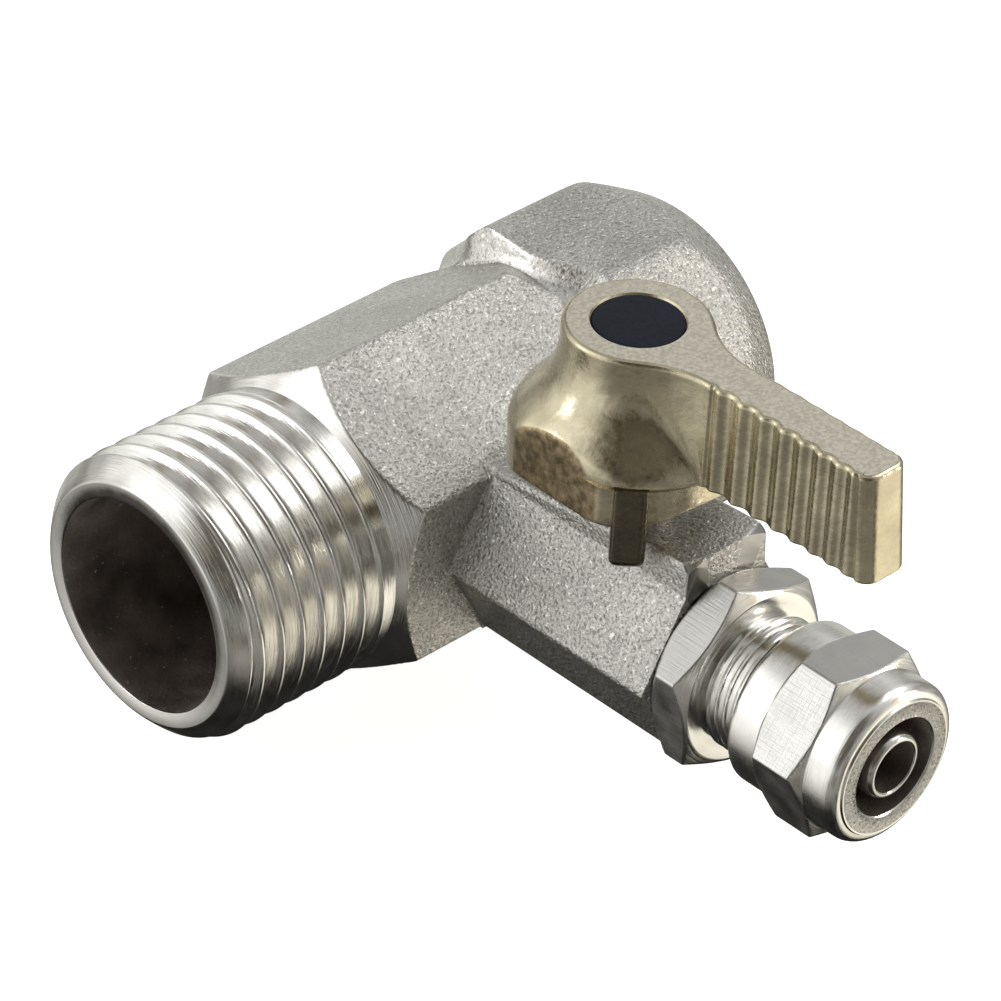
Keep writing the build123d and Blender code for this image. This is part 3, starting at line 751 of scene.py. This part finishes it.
def connector_shell(size):
    """Connector: spigot, chamfered hexagon, turned neck, fine helical thread, cone and barb."""
    theta = angles_round(168, CONNECTOR_CORNER + np.arange(6) * TURN / 6, 2.4, 3)
    hex_start, hex_end = -BODY_LOW[1] + 0.04, CONNECTOR_HEX_END
    hexagon = polygon_radius(theta, size.connector_apothem, 6, CONNECTOR_CORNER, 0.18)
    s = spaced((hex_start, hex_start + 1.3, 0.07), (hex_start + 1.3, hex_end - 1.5, 0.4),
               (hex_end - 1.5, hex_end, 0.055))[:, None]
    front = 6.2 + (hex_end - s) * 1.85
    back = size.connector_apothem + (s - hex_start - 0.17) * 1.33
    hexes = soft_min(soft_min(hexagon, front, 0.05), back, 0.05)
    neck = [(0.02 + hex_end, 6.12), (0.05 + hex_end, 5.5), (0.08 + hex_end, 4.6),
            (0.15 + hex_end, 4.42)]
    run = spaced((hex_end + 0.25, FINE_END, 0.05))[:, None]
    pitch = size.thread_pitch
    cut = thread_cut(crest_offset(run, theta, pitch, FINE_CREST), pitch, *FINE_FORM)
    fade = ramp(run, hex_end + 0.25, hex_end + 0.6) * (1 - ramp(run, FINE_END - 0.4, FINE_END))
    deepest = cut.max()
    helix = size.thread_radius - deepest + (deepest - cut) * fade
    barb, slim, bore = size.barb, BARB_NECK_R, size.connector_bore
    tail = [(38.2, 4.4), (39.7, 3.2), (39.7, slim), (40.8, slim), (41.2, barb), (42.0, barb),
            (42.35, 2.25),
            (42.5, slim), (43.3, slim), (43.7, barb), (44.55, barb), (44.8, 2.36), (44.95, slim)]
    tip = -CONNECTOR_LOW[1]
    hole = [(tip, 2.12), (tip, bore + 0.08), (tip - 0.08, bore), (36.0, bore), (30.0, bore),
            (24.42, bore),
            (24.42, GUIDE_R - 0.08), (24.5, GUIDE_R), (hex_start, GUIDE_R)]
    points = np.concatenate([
        lathe("branch", s, hexes, theta), profile("branch", neck, theta),
        lathe("branch", run, helix, theta),
        profile("branch", tail, theta), profile("branch", hole, theta)])
    paint = np.zeros((len(points), len(theta)), int)
    on_flat = (hexagon < front) & (hexagon < back)
    paint[:len(s)] = np.where(on_flat, 1, 0)
    paint[-7:-3] = 2
    return points, True, paint


def nut_shell(size):
    """Tube nut: round collar, hexagon chamfered at both ends, rounded nose, bore with a closing cone."""
    theta = angles_round(168, NUT_CORNER + np.arange(6) * TURN / 6, 2.4, 3)
    hex_low, hex_high = NUT_HEX_LOW, NUT_HEX_HIGH
    start, end = -NUT_HIGH[1], -NUT_LOW[1]
    collar_s = np.array([0.0, 0.06, 0.2, 0.4, 1.2, 2.0])[:, None] + start
    collar_r = size.nut_collar - np.array([0.3, 0.12, 0.03, 0.0, 0.0, 0.0])[:, None]
    hexagon = polygon_radius(theta, size.nut_apothem, 6, NUT_CORNER, 0.15)
    s = spaced((hex_low - 0.25, hex_low + 1.2, 0.06), (hex_low + 1.2, hex_high - 1.2, 0.3),
               (hex_high - 1.2, hex_high + 0.36, 0.06))[:, None]
    back = size.nut_collar + (s - hex_low + 0.15) * 1.57
    front = size.nut_barrel + (hex_high - s + 0.24) * 2.0
    hexes = soft_min(soft_min(hexagon, front, 0.05), back, 0.05)
    hexes = np.maximum(hexes, np.where(s < hex_low + 1, size.nut_collar - 0.02, size.nut_barrel))
    q = np.radians(np.linspace(0, 90, 9))
    nose_s = np.concatenate([[hex_high + 0.45, 43.2, 43.7], 43.9 + 0.95 * np.sin(q)[1:]])[:, None]
    nose_r = np.concatenate([[size.nut_barrel] * 3,
                             size.nut_barrel - 0.85 * (1 - np.cos(q[1:]))])[:, None]
    hole = size.nut_hole
    face = [(end, 4.96), (end, 4.85), (end - 0.05, 4.7), (end - 0.05, hole + 0.25),
            (end, hole + 0.12),
            (end - 0.08, hole), (41.6, hole), (40.2, 5.05), (start + 0.15, 5.05), (start, 5.2)]
    points = np.concatenate([
        lathe("branch", collar_s, collar_r, theta), lathe("branch", s, hexes, theta),
        lathe("branch", nose_s, nose_r, theta), profile("branch", face, theta)])
    paint = np.zeros((len(points), len(theta)), int)
    first = len(collar_s)
    paint[first:first + len(s)] = np.where((hexagon < front) & (hexagon < back), 1, 0)
    face_row = len(points) - len(face)
    paint[face_row + 1:face_row + 4] = 2
    paint[face_row + 5:] = 3
    return points, True, paint


# ---------------------------------------------------------------- materials

def node(tree, kind, output, inputs, **settings):
    """One output of a new shader node; its inputs are linked to sockets or set to plain values."""
    made = tree.nodes.new("ShaderNode" + kind)
    for name, value in settings.items():
        setattr(made, name, value)
    for key, value in inputs.items():
        if isinstance(value, bpy.types.NodeSocket):
            tree.links.new(value, made.inputs[key])
        else:
            made.inputs[key].default_value = value
    return made.outputs[output]


def new_material(name, base, metallic, roughness, specular=0.5):
    """A material, its tree, and its shader with the fixed values set."""
    material = bpy.data.materials.new(name)
    material.use_nodes = True
    tree = material.node_tree
    shader = next(n for n in tree.nodes if n.type == "BSDF_PRINCIPLED")
    shader.inputs["Base Color"].default_value = (*base, 1)
    shader.inputs["Metallic"].default_value = metallic
    shader.inputs["Roughness"].default_value = roughness
    shader.inputs["Specular IOR Level"].default_value = specular
    return material, tree, shader


def wire(tree, shader, tone, gloss, normal):
    """Link the colour, roughness and normal patterns to the shader."""
    for socket, value in (("Base Color", tone), ("Roughness", gloss), ("Normal", normal)):
        tree.links.new(value, shader.inputs[socket])


def coordinates(tree, stretch=(1, 1, 1)):
    """Object coordinates, stretched along the axes."""
    source = node(tree, "TexCoord", "Object", {})
    return node(tree, "Mapping", "Vector", {"Vector": source, "Scale": stretch})


def noise(tree, vector, scale, detail=2.0, rough=0.5):
    """Noise value at a scale per metre."""
    return node(tree, "TexNoise", "Fac",
                {"Vector": vector, "Scale": scale, "Detail": detail, "Roughness": rough})


def spread(tree, value, low, high, to_low=0.0, to_high=1.0):
    """The value remapped from one range to another, held at its ends."""
    return node(tree, "MapRange", "Result", {"Value": value, "From Min": low, "From Max": high,
                                             "To Min": to_low, "To Max": to_high})


def gloss_range(tree, pattern, low, high):
    """Roughness between two values, following a noise pattern."""
    return spread(tree, pattern, 0.3, 0.7, low, high)


def blend_colours(tree, factor, first, second, how="MIX"):
    """Two colours blended by a factor from 0 to 1."""
    first, second = (c if isinstance(c, bpy.types.NodeSocket) else (*c, 1) for c in (first, second))
    return node(tree, "Mix", 2, {0: factor, 6: first, 7: second}, data_type="RGBA", blend_type=how)


def mottle(tree, pattern, low, high, first, second):
    """Colour that goes from first to second while the pattern rises from low to high."""
    return blend_colours(tree, spread(tree, pattern, low, high), first, second)


def bump(tree, height, strength, distance_mm, under=None):
    """A bump from a height pattern, on top of another bump if given."""
    inputs = {"Height": height, "Strength": strength, "Distance": distance_mm * MM}
    if under is not None:
        inputs["Normal"] = under
    return node(tree, "Bump", "Normal", inputs)


def shade(base, factor):
    """The colour made darker or lighter."""
    return tuple(min(1.0, channel * factor) for channel in base)


def cast_nickel(name, base, grain_scale, strength, rough=(0.26, 0.42)):
    """Plate over a blasted forging: fine pebble grain, painted glints, soft cloudy tone changes."""
    material, tree, shader = new_material(name, base, 1.0, 0.4)
    plain = coordinates(tree)
    grain = noise(tree, plain, grain_scale, 3.0, 0.55)
    coarse = noise(tree, plain, grain_scale * 0.55)
    painted_glints = noise(tree, plain, grain_scale * 0.8, 1.0)
    tone = mottle(tree, noise(tree, plain, 160, 3.0), 0.35, 0.68, shade(base, 0.86),
                  shade(base, 1.08))
    tone = mottle(tree, grain, 0.32, 0.50, shade(base, 0.50), tone)
    # Painted glints: the colour rises to 1.5 times the base where this noise peaks.
    tone = mottle(tree, painted_glints, 0.64, 0.72, tone, shade(base, 1.5))
    under = bump(tree, coarse, strength * 0.45, 0.12)
    wire(tree, shader, tone, gloss_range(tree, coarse, *rough),
         bump(tree, grain, strength, 0.17, under))
    return material


def turned_nickel(name, base, axis, strength=0.5, rough=(0.12, 0.24), grooves=None):
    """Plate over a lathe-turned face: fine rings round an axis, a few scratches, faint stains.

    Where a pair of radii in millimetres is given, the colour darkens from the second down to the first: painted
    shade in the thread's roots.
    """
    material, tree, shader = new_material(name, base, 1.0, 0.22)
    stretch = {"x": (1, 0.03, 0.03), "y": (0.03, 1, 0.03), "z": (0.03, 0.03, 1)}[axis]
    rings = noise(tree, coordinates(tree, stretch), 9000, 3.0, 0.6)
    plain = coordinates(tree)
    wear = noise(tree, plain, 900, 4.0, 0.6)
    tone = mottle(tree, noise(tree, plain, 240, 3.0), 0.35, 0.7, shade(base, 0.84), base)
    if grooves:
        flat = coordinates(tree, {"x": (0, 1, 1), "y": (1, 0, 1), "z": (1, 1, 0)}[axis])
        radius = node(tree, "VectorMath", "Value", {0: flat}, operation="LENGTH")
        # Painted shade: darker nearer the axis than the given radii, down into the thread's roots.
        tone = mottle(tree, radius, grooves[0] * MM, grooves[1] * MM, shade(base, 0.7), tone)
    under = bump(tree, wear, 0.06, 0.05)
    wire(tree, shader, tone, gloss_range(tree, wear, *rough),
         bump(tree, rings, strength, 0.05, under))
    return material


def brushed_flats(name, base, strength=0.5):
    """Plate over hexagon flats: a fine cross-hatch of milling lines."""
    material, tree, shader = new_material(name, base, 1.0, 0.34)
    along = noise(tree, coordinates(tree, (0.06, 1, 0.06)), 7000, 2.0, 0.6)
    across = noise(tree, coordinates(tree, (1, 0.05, 1)), 7000, 2.0, 0.6)
    cloud = noise(tree, coordinates(tree), 500, 3.0)
    tone = mottle(tree, cloud, 0.3, 0.7, shade(base, 0.9), base)
    under = bump(tree, along, strength, 0.05)
    wire(tree, shader, tone, gloss_range(tree, cloud, 0.28, 0.42),
         bump(tree, across, strength, 0.05, under))
    return material


def lever_plate(name, base, flat=None, flat_from=7.0):
    """Warm glossy plate over a die casting: slow waves in the surface and a fine orange-peel grain.

    Beyond flat_from millimetres either side of the middle the skirt's two flats are darker and rougher.
    """
    material, tree, shader = new_material(name, base, 1.0, 0.2)
    plain = coordinates(tree)
    peel = noise(tree, plain, 2600)
    tone = mottle(tree, noise(tree, plain, 260, 3.0), 0.36, 0.66, shade(base, 0.80),
                  shade(base, 1.08))
    gloss = gloss_range(tree, peel, 0.16, 0.30)
    if flat:
        sideways = node(tree, "SeparateXYZ", "X", {0: plain})
        from_middle = node(tree, "Math", 0, {0: sideways}, operation="ABSOLUTE")
        mask = spread(tree, from_middle, flat_from * MM, (flat_from + 0.06) * MM)
        streaks = noise(tree, plain, 1500, 4.0, 0.65)
        ground = mottle(tree, streaks, 0.38, 0.64, shade(flat, 0.5), shade(flat, 1.25))
        tone = blend_colours(tree, mask, tone, ground)
        gloss = node(tree, "Math", 0, {0: mask, 1: 0.2, 2: gloss}, operation="MULTIPLY_ADD")
    under = bump(tree, noise(tree, plain, 420), 0.16, 0.45)
    wire(tree, shader, tone, gloss, bump(tree, peel, 0.22, 0.06, under))
    return material


def matt_top(name, base):
    """Matt linished top face: dull plate with short scratches along the arm."""
    material, tree, shader = new_material(name, base, 0.85, 0.5)
    streaks = noise(tree, coordinates(tree, (1, 0.12, 1)), 3200, 3.0, 0.6)
    speckle = noise(tree, coordinates(tree), 3800, 3.0)
    tone = mottle(tree, speckle, 0.35, 0.65, shade(base, 0.82), shade(base, 1.12))
    under = bump(tree, streaks, 0.25, 0.05)
    wire(tree, shader, tone, gloss_range(tree, streaks, 0.42, 0.6),
         bump(tree, speckle, 0.35, 0.05, under))
    return material


def dark_bore(name, base):
    """Unplated inside of the run, coloured near black as painted shade in the bore; rough, with a few bright
    specks.
    """
    material, tree, shader = new_material(name, base, 0.0, 0.6, 0.25)
    plain = coordinates(tree)
    speck = noise(tree, plain, 3400)
    tone = mottle(tree, noise(tree, plain, 350, 3.0), 0.3, 0.7, shade(base, 0.5), shade(base, 1.4))
    tone = mottle(tree, speck, 0.70, 0.75, tone, (0.32, 0.28, 0.25))
    wire(tree, shader, tone, gloss_range(tree, speck, 0.5, 0.75), bump(tree, speck, 0.5, 0.1))
    return material


def plain_finish(name, base, metallic, rough, scale=2200, strength=0.2, vary=0.12, specular=0.5):
    """Moulded, bare or hidden finish: small tone and roughness changes and a fine grain."""
    material, tree, shader = new_material(name, base, metallic, sum(rough) / 2, specular)
    plain = coordinates(tree)
    grain = noise(tree, plain, scale, 3.0)
    cloud = noise(tree, plain, scale * 0.16, 3.0)
    tone = mottle(tree, cloud, 0.3, 0.7, shade(base, 1 - vary), shade(base, 1 + vary))
    wire(tree, shader, tone, gloss_range(tree, grain, *rough), bump(tree, grain, strength, 0.05))
    return material


# ---------------------------------------------------------------- operators

class BodyOperator(bpy.types.Operator):
    """Build the body: spigot, run with collar, and branch with boss"""
    bl_idname = "teevalve.body"
    bl_label = "Body"

    def execute(self, context):
        size, colours = in_mm(context.scene.teevalve_body), context.scene.teevalve_finishes
        cast = cast_nickel("cast_nickel_plate", colours.nickel, 4200, 0.95)
        # The radii 9.1 to 9.5 paint shade into the male thread's roots.
        turned = turned_nickel("turned_nickel_run", colours.turned, "x", grooves=(9.1, 9.5))
        bore = dark_bore("dark_bore", colours.dark_bore)
        flare = cast_nickel("cast_nickel_smooth", shade(colours.nickel, 1.1), 3600, 0.2,
                            (0.2, 0.32))
        make_piece("body_spigot", [spigot_shell(size)], [turned, bore], "body",
                   ["tee_body"])
        run = make_piece("body_run", [run_shell(size)], [cast, turned, bore, flare], "body",
                         ["tee_body"])
        cut_port(run, size)
        # The branch's turned end and the boss take the turned plate at 0.55: painted shade at the branch's mouth
        # and under the lever.
        shaded_end_face = turned_nickel("turned_nickel_branch_painted_shade", shade(colours.turned, 0.55), "y")
        make_piece("body_branch", [branch_shell(size), boss_shell(size)], [cast, shaded_end_face], "body",
                   ["tee_body"])
        return {"FINISHED"}


class LeverOperator(bpy.types.Operator):
    """Build the lever with its skirt and lug, and its cap"""
    bl_idname = "teevalve.lever"
    bl_label = "Lever and cap"

    def execute(self, context):
        size, colours = in_mm(context.scene.teevalve_lever), context.scene.teevalve_finishes
        plate = lever_plate("lever_plate", colours.champagne, colours.flat)
        top = matt_top("lever_matt_top", colours.champagne_top)
        # The lug's plate is darkened to three tenths of the lever's: painted shade under the skirt.
        shadow = lever_plate("lever_lug_painted_shade", shade(colours.champagne, 0.3))
        shells = [lever_shell(size), skirt_shell(size), lug_shell(size)]
        make_piece("lever_casting", shells, [plate, top, shadow], "lever",
                   ["lever_handle"])
        moulded = plain_finish("cap_plastic", colours.cap, 0.0, (0.5, 0.62), 2600, 0.12,
                               specular=0.22)
        make_piece("lever_cap", [cap_shell()], [moulded], "lever",
                   ["handle_cap"])
        return {"FINISHED"}


class OutletOperator(bpy.types.Operator):
    """Build the outlet connector and the tube nut"""
    bl_idname = "teevalve.outlet"
    bl_label = "Outlet and nut"

    def execute(self, context):
        size, colours = in_mm(context.scene.teevalve_outlet), context.scene.teevalve_finishes
        # The radii 4.2 to 4.6 paint shade into the fine thread's roots.
        turned = turned_nickel("turned_nickel_outlet", colours.turned, "y", grooves=(4.2, 4.6))
        flats = brushed_flats("hexagon_flats", shade(colours.turned, 0.64))
        face = cast_nickel("nose_face", shade(colours.turned, 0.52), 5200, 0.5)
        inside = dark_bore("painted_shade_waterway", colours.dark_bore)
        make_piece("connector_fitting", [connector_shell(size)], [turned, flats, inside], "body",
                   ["outlet_connector"])
        make_piece("union_nut", [nut_shell(size)], [turned, flats, face, inside], "tube_nut",
                   ["tube_nut"])
        return {"FINISHED"}


class InnerOperator(bpy.types.Operator):
    """Give the ball, seats, stem, rings, washers and screw their finishes"""
    bl_idname = "teevalve.inner"
    bl_label = "Inner pieces"

    def execute(self, context):
        colours = context.scene.teevalve_finishes
        white = plain_finish("ptfe", (0.86, 0.86, 0.84), 0.0, (0.35, 0.5), 1800, 0.15, 0.04)
        rubber = plain_finish("seal_rubber", (0.020, 0.020, 0.021), 0.0, (0.5, 0.7), 2600, 0.3)
        steel = plain_finish("zinc_steel", (0.58, 0.58, 0.60), 1.0, (0.25, 0.4), 3000, 0.2)
        chrome = plain_finish("ball_chrome", (0.74, 0.74, 0.76), 1.0, (0.04, 0.10), 1200, 0.03,
                              0.04)
        brass = turned_nickel("bare_brass", colours.brass, "z")
        finishes = {"ball": chrome, "seat_inner": white, "seat_outer": white,
                    "stem_thrust_washer": white,
                    "stem": brass, "stem_o_ring_lower": rubber, "stem_o_ring_upper": rubber,
                    "port_washer": rubber, "handle_washer": steel, "handle_screw": steel}
        for node, finish in finishes.items():
            mesh = frame["nodes"][node].data
            mesh.materials.clear()
            mesh.materials.append(finish)
        return {"FINISHED"}


LENS_MM, SENSOR_MM = 211.074, 36
CAMERA_AIM, CAMERA_DISTANCE = (3.060, -5.174, -1.924), 406.21
CAMERA_AZIMUTH, CAMERA_ELEVATION, CAMERA_ROLL = (math.radians(a) for a in (-46.138, 35.632, 3.409))
LAMPS = (("key_softbox", (270, -110, 370), (240, 240), 0.32, (1, 1, 1)),
         ("left_softbox", (-436, 304, 117), (150, 150), 0.25, (1, 1, 1)),
         ("right_strip", (330, -330, 60), (60, 240), 0.55, (1.0, 0.93, 0.82)))
LAMP_AIM = (0, -12, 2)
SKY_STOPS = ((0.0, (0.02, 0.02, 0.02)), (0.10, (0.03, 0.03, 0.03)), (0.19, (0.26, 0.25, 0.23)),
             (0.34, (0.40, 0.39, 0.36)), (0.46, (0.46, 0.47, 0.45)), (0.60, (0.46, 0.46, 0.45)),
             (0.70, (0.62, 0.62, 0.61)), (0.80, (0.84, 0.84, 0.83)), (0.88, (0.60, 0.60, 0.60)),
             (1.0, (0.66, 0.66, 0.66)))
STUDIO_GLOWS = (((-0.82, 0.56, 0.19), (0.55, 0.96), (0.92, 0.92, 0.90)),
                ((0.60, -0.78, -0.10), (0.86, 0.96), (0.50, 0.45, 0.35)),
                ((0.586, -0.563, -0.583), (0.86, 0.975), (0.95, 0.90, 0.76)),
                ((0.586, 0.789, -0.19), (0.85, 0.96), (0.40, 0.42, 0.39)),
                ((0.58, -0.22, 0.78), (0.91, 0.98), (0.60, 0.60, 0.57)))
VIEWER_SIDE = (-0.586, -0.563, 0.583)


def facing_matrix(back, spot_mm, roll=0.0):
    """Matrix that stands at a spot and looks away from the direction back, turned by a roll."""
    side = np.cross((0, 0, 1), back)
    side = side / np.linalg.norm(side)
    side = side * math.cos(roll) + np.cross(back, side) * math.sin(roll)
    matrix = np.eye(4)
    matrix[:3, :3] = np.stack([side, np.cross(back, side), back], 1)
    matrix[:3, 3] = spot_mm * MM
    return Matrix(matrix.tolist())


def area_lamp(name, place_mm, size_mm, power, tint):
    """A rectangular soft light aimed at the middle of the object."""
    data = bpy.data.lights.new(name, "AREA")
    data.shape = "RECTANGLE"
    data.size, data.size_y = size_mm[0] * MM, size_mm[1] * MM
    data.energy = power
    data.color = tint
    lamp = bpy.data.objects.new(name, data)
    spot = np.array(place_mm, float)
    back = (spot - LAMP_AIM) / np.linalg.norm(spot - LAMP_AIM)
    lamp.matrix_world = facing_matrix(back, spot)
    bpy.context.scene.collection.objects.link(lamp)


def studio_world(scene):
    """Surroundings: pale overhead, dark underneath, with warm and grey patches; plain pale to the eye.

    Glows are added in the directions of STUDIO_GLOWS and the side that the viewer stands on is darker.
    """
    world = bpy.data.worlds.new("studio")
    world.use_nodes = True
    tree = world.node_tree
    tree.nodes.clear()
    direction = node(tree, "TexCoord", "Generated", {})

    def towards(aim, edge):
        """Rises from 0 to 1 as the direction comes near to the aim."""
        nearness = node(tree, "VectorMath", "Value", {0: direction, 1: aim},
                        operation="DOT_PRODUCT")
        return spread(tree, nearness, *edge)

    sky = tree.nodes.new("ShaderNodeValToRGB")
    stops = sky.color_ramp.elements
    while len(stops) < len(SKY_STOPS):
        stops.new(0.5)
    for stop, (position, value) in zip(stops, SKY_STOPS):
        stop.position = position
        stop.color = (*value, 1)
    height = node(tree, "SeparateXYZ", "Z", {0: direction})
    tree.links.new(spread(tree, height, -1, 1), sky.inputs["Fac"])
    patches = mottle(tree, noise(tree, direction, 4.6), 0.40, 0.50, (0.34, 0.31, 0.25), (1, 1, 1))
    lit = blend_colours(tree, 1.0, sky.outputs["Color"], patches, "MULTIPLY")
    for aim, edge, strength in STUDIO_GLOWS:
        lit = blend_colours(tree, towards(aim, edge), lit, strength, "ADD")
    viewer = blend_colours(tree, towards(VIEWER_SIDE, (0.70, 0.90)), (1, 1, 1), (0.22, 0.20, 0.17))
    lit = blend_colours(tree, 1.0, lit, viewer, "MULTIPLY")
    room = node(tree, "Background", 0, {"Color": lit, "Strength": 1.0})
    even = node(tree, "Background", 0, {"Color": (1, 1, 1, 1), "Strength": 1.0})
    seen = node(tree, "LightPath", "Is Camera Ray", {})
    surface = node(tree, "MixShader", 0, {0: seen, 1: room, 2: even})
    tree.links.new(surface, tree.nodes.new("ShaderNodeOutputWorld").inputs["Surface"])
    scene.world = world


class StageOperator(bpy.types.Operator):
    """Lay the floor, hang the lights and set the camera"""
    bl_idname = "teevalve.stage"
    bl_label = "Stage"

    def execute(self, context):
        scene = context.scene
        half = 1500.0
        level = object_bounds()[0][2] / MM - 0.03
        corners = np.array([[-half, -half], [half, -half], [half, half], [-half, half]])
        vertices = np.column_stack([corners, np.full(4, level)]) * MM
        mesh = bpy.data.meshes.new("studio_floor")
        mesh.from_pydata(vertices.tolist(), [], [(0, 1, 2, 3)])
        floor = bpy.data.objects.new("studio_floor", mesh)
        scene.collection.objects.link(floor)
        paint, tree, shader = new_material("floor_paint", scene.teevalve_finishes.floor, 0.0, 0.75)
        cloud = noise(tree, coordinates(tree), 40)
        tree.links.new(gloss_range(tree, cloud, 0.70, 0.80), shader.inputs["Roughness"])
        tree.links.new(bump(tree, cloud, 0.02, 0.05), shader.inputs["Normal"])
        shader.inputs["Emission Color"].default_value = (1, 1, 1, 1)
        shader.inputs["Emission Strength"].default_value = 0.80
        mesh.materials.append(paint)
        floor.visible_glossy = False
        floor.visible_shadow = False
        floor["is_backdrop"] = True
        studio_world(scene)
        for lamp in LAMPS:
            area_lamp(*lamp)
        data = bpy.data.cameras.new("camera")
        data.sensor_width = SENSOR_MM
        data.lens = LENS_MM
        data.clip_start, data.clip_end = 0.01, 20
        camera = bpy.data.objects.new("camera", data)
        level_part = math.cos(CAMERA_ELEVATION)
        back = np.array([math.sin(CAMERA_AZIMUTH) * level_part,
                         -math.cos(CAMERA_AZIMUTH) * level_part,
                         math.sin(CAMERA_ELEVATION)])
        spot = np.array(CAMERA_AIM) + back * CAMERA_DISTANCE
        camera.matrix_world = facing_matrix(back, spot, CAMERA_ROLL)
        scene.collection.objects.link(camera)
        scene.camera = camera
        scene.view_settings.view_transform = "Standard"
        scene.view_settings.look = "None"
        return {"FINISHED"}


class TeeValvePanel(bpy.types.Panel):
    """Sidebar panel that lists the building steps"""
    bl_idname = "VIEW3D_PT_teevalve"
    bl_label = "Tee Valve"
    bl_space_type = "VIEW_3D"
    bl_region_type = "UI"
    bl_category = "Tee Valve"

    def draw(self, context):
        for operator in OPERATORS:
            self.layout.operator(operator.bl_idname)


OPERATORS = (BodyOperator, LeverOperator, OutletOperator, InnerOperator, StageOperator)
GROUPS = {"teevalve_body": BodySizes, "teevalve_lever": LeverSizes, "teevalve_outlet": OutletSizes,
          "teevalve_finishes": Finishes}


def register():
    """Register the classes and hang the settings on the scene."""
    for kind in (*GROUPS.values(), *OPERATORS, TeeValvePanel):
        bpy.utils.register_class(kind)
    for name, group in GROUPS.items():
        setattr(bpy.types.Scene, name, bpy.props.PointerProperty(type=group))


def unregister():
    """Undo register."""
    for name in GROUPS:
        delattr(bpy.types.Scene, name)
    for kind in reversed((*GROUPS.values(), *OPERATORS, TeeValvePanel)):
        bpy.utils.unregister_class(kind)


def main():
    """Build every piece in order."""
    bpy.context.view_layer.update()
    register()
    bpy.ops.teevalve.body()
    bpy.ops.teevalve.lever()
    bpy.ops.teevalve.outlet()
    bpy.ops.teevalve.inner()
    bpy.ops.teevalve.stage()


if __name__ == "__main__":
    main()
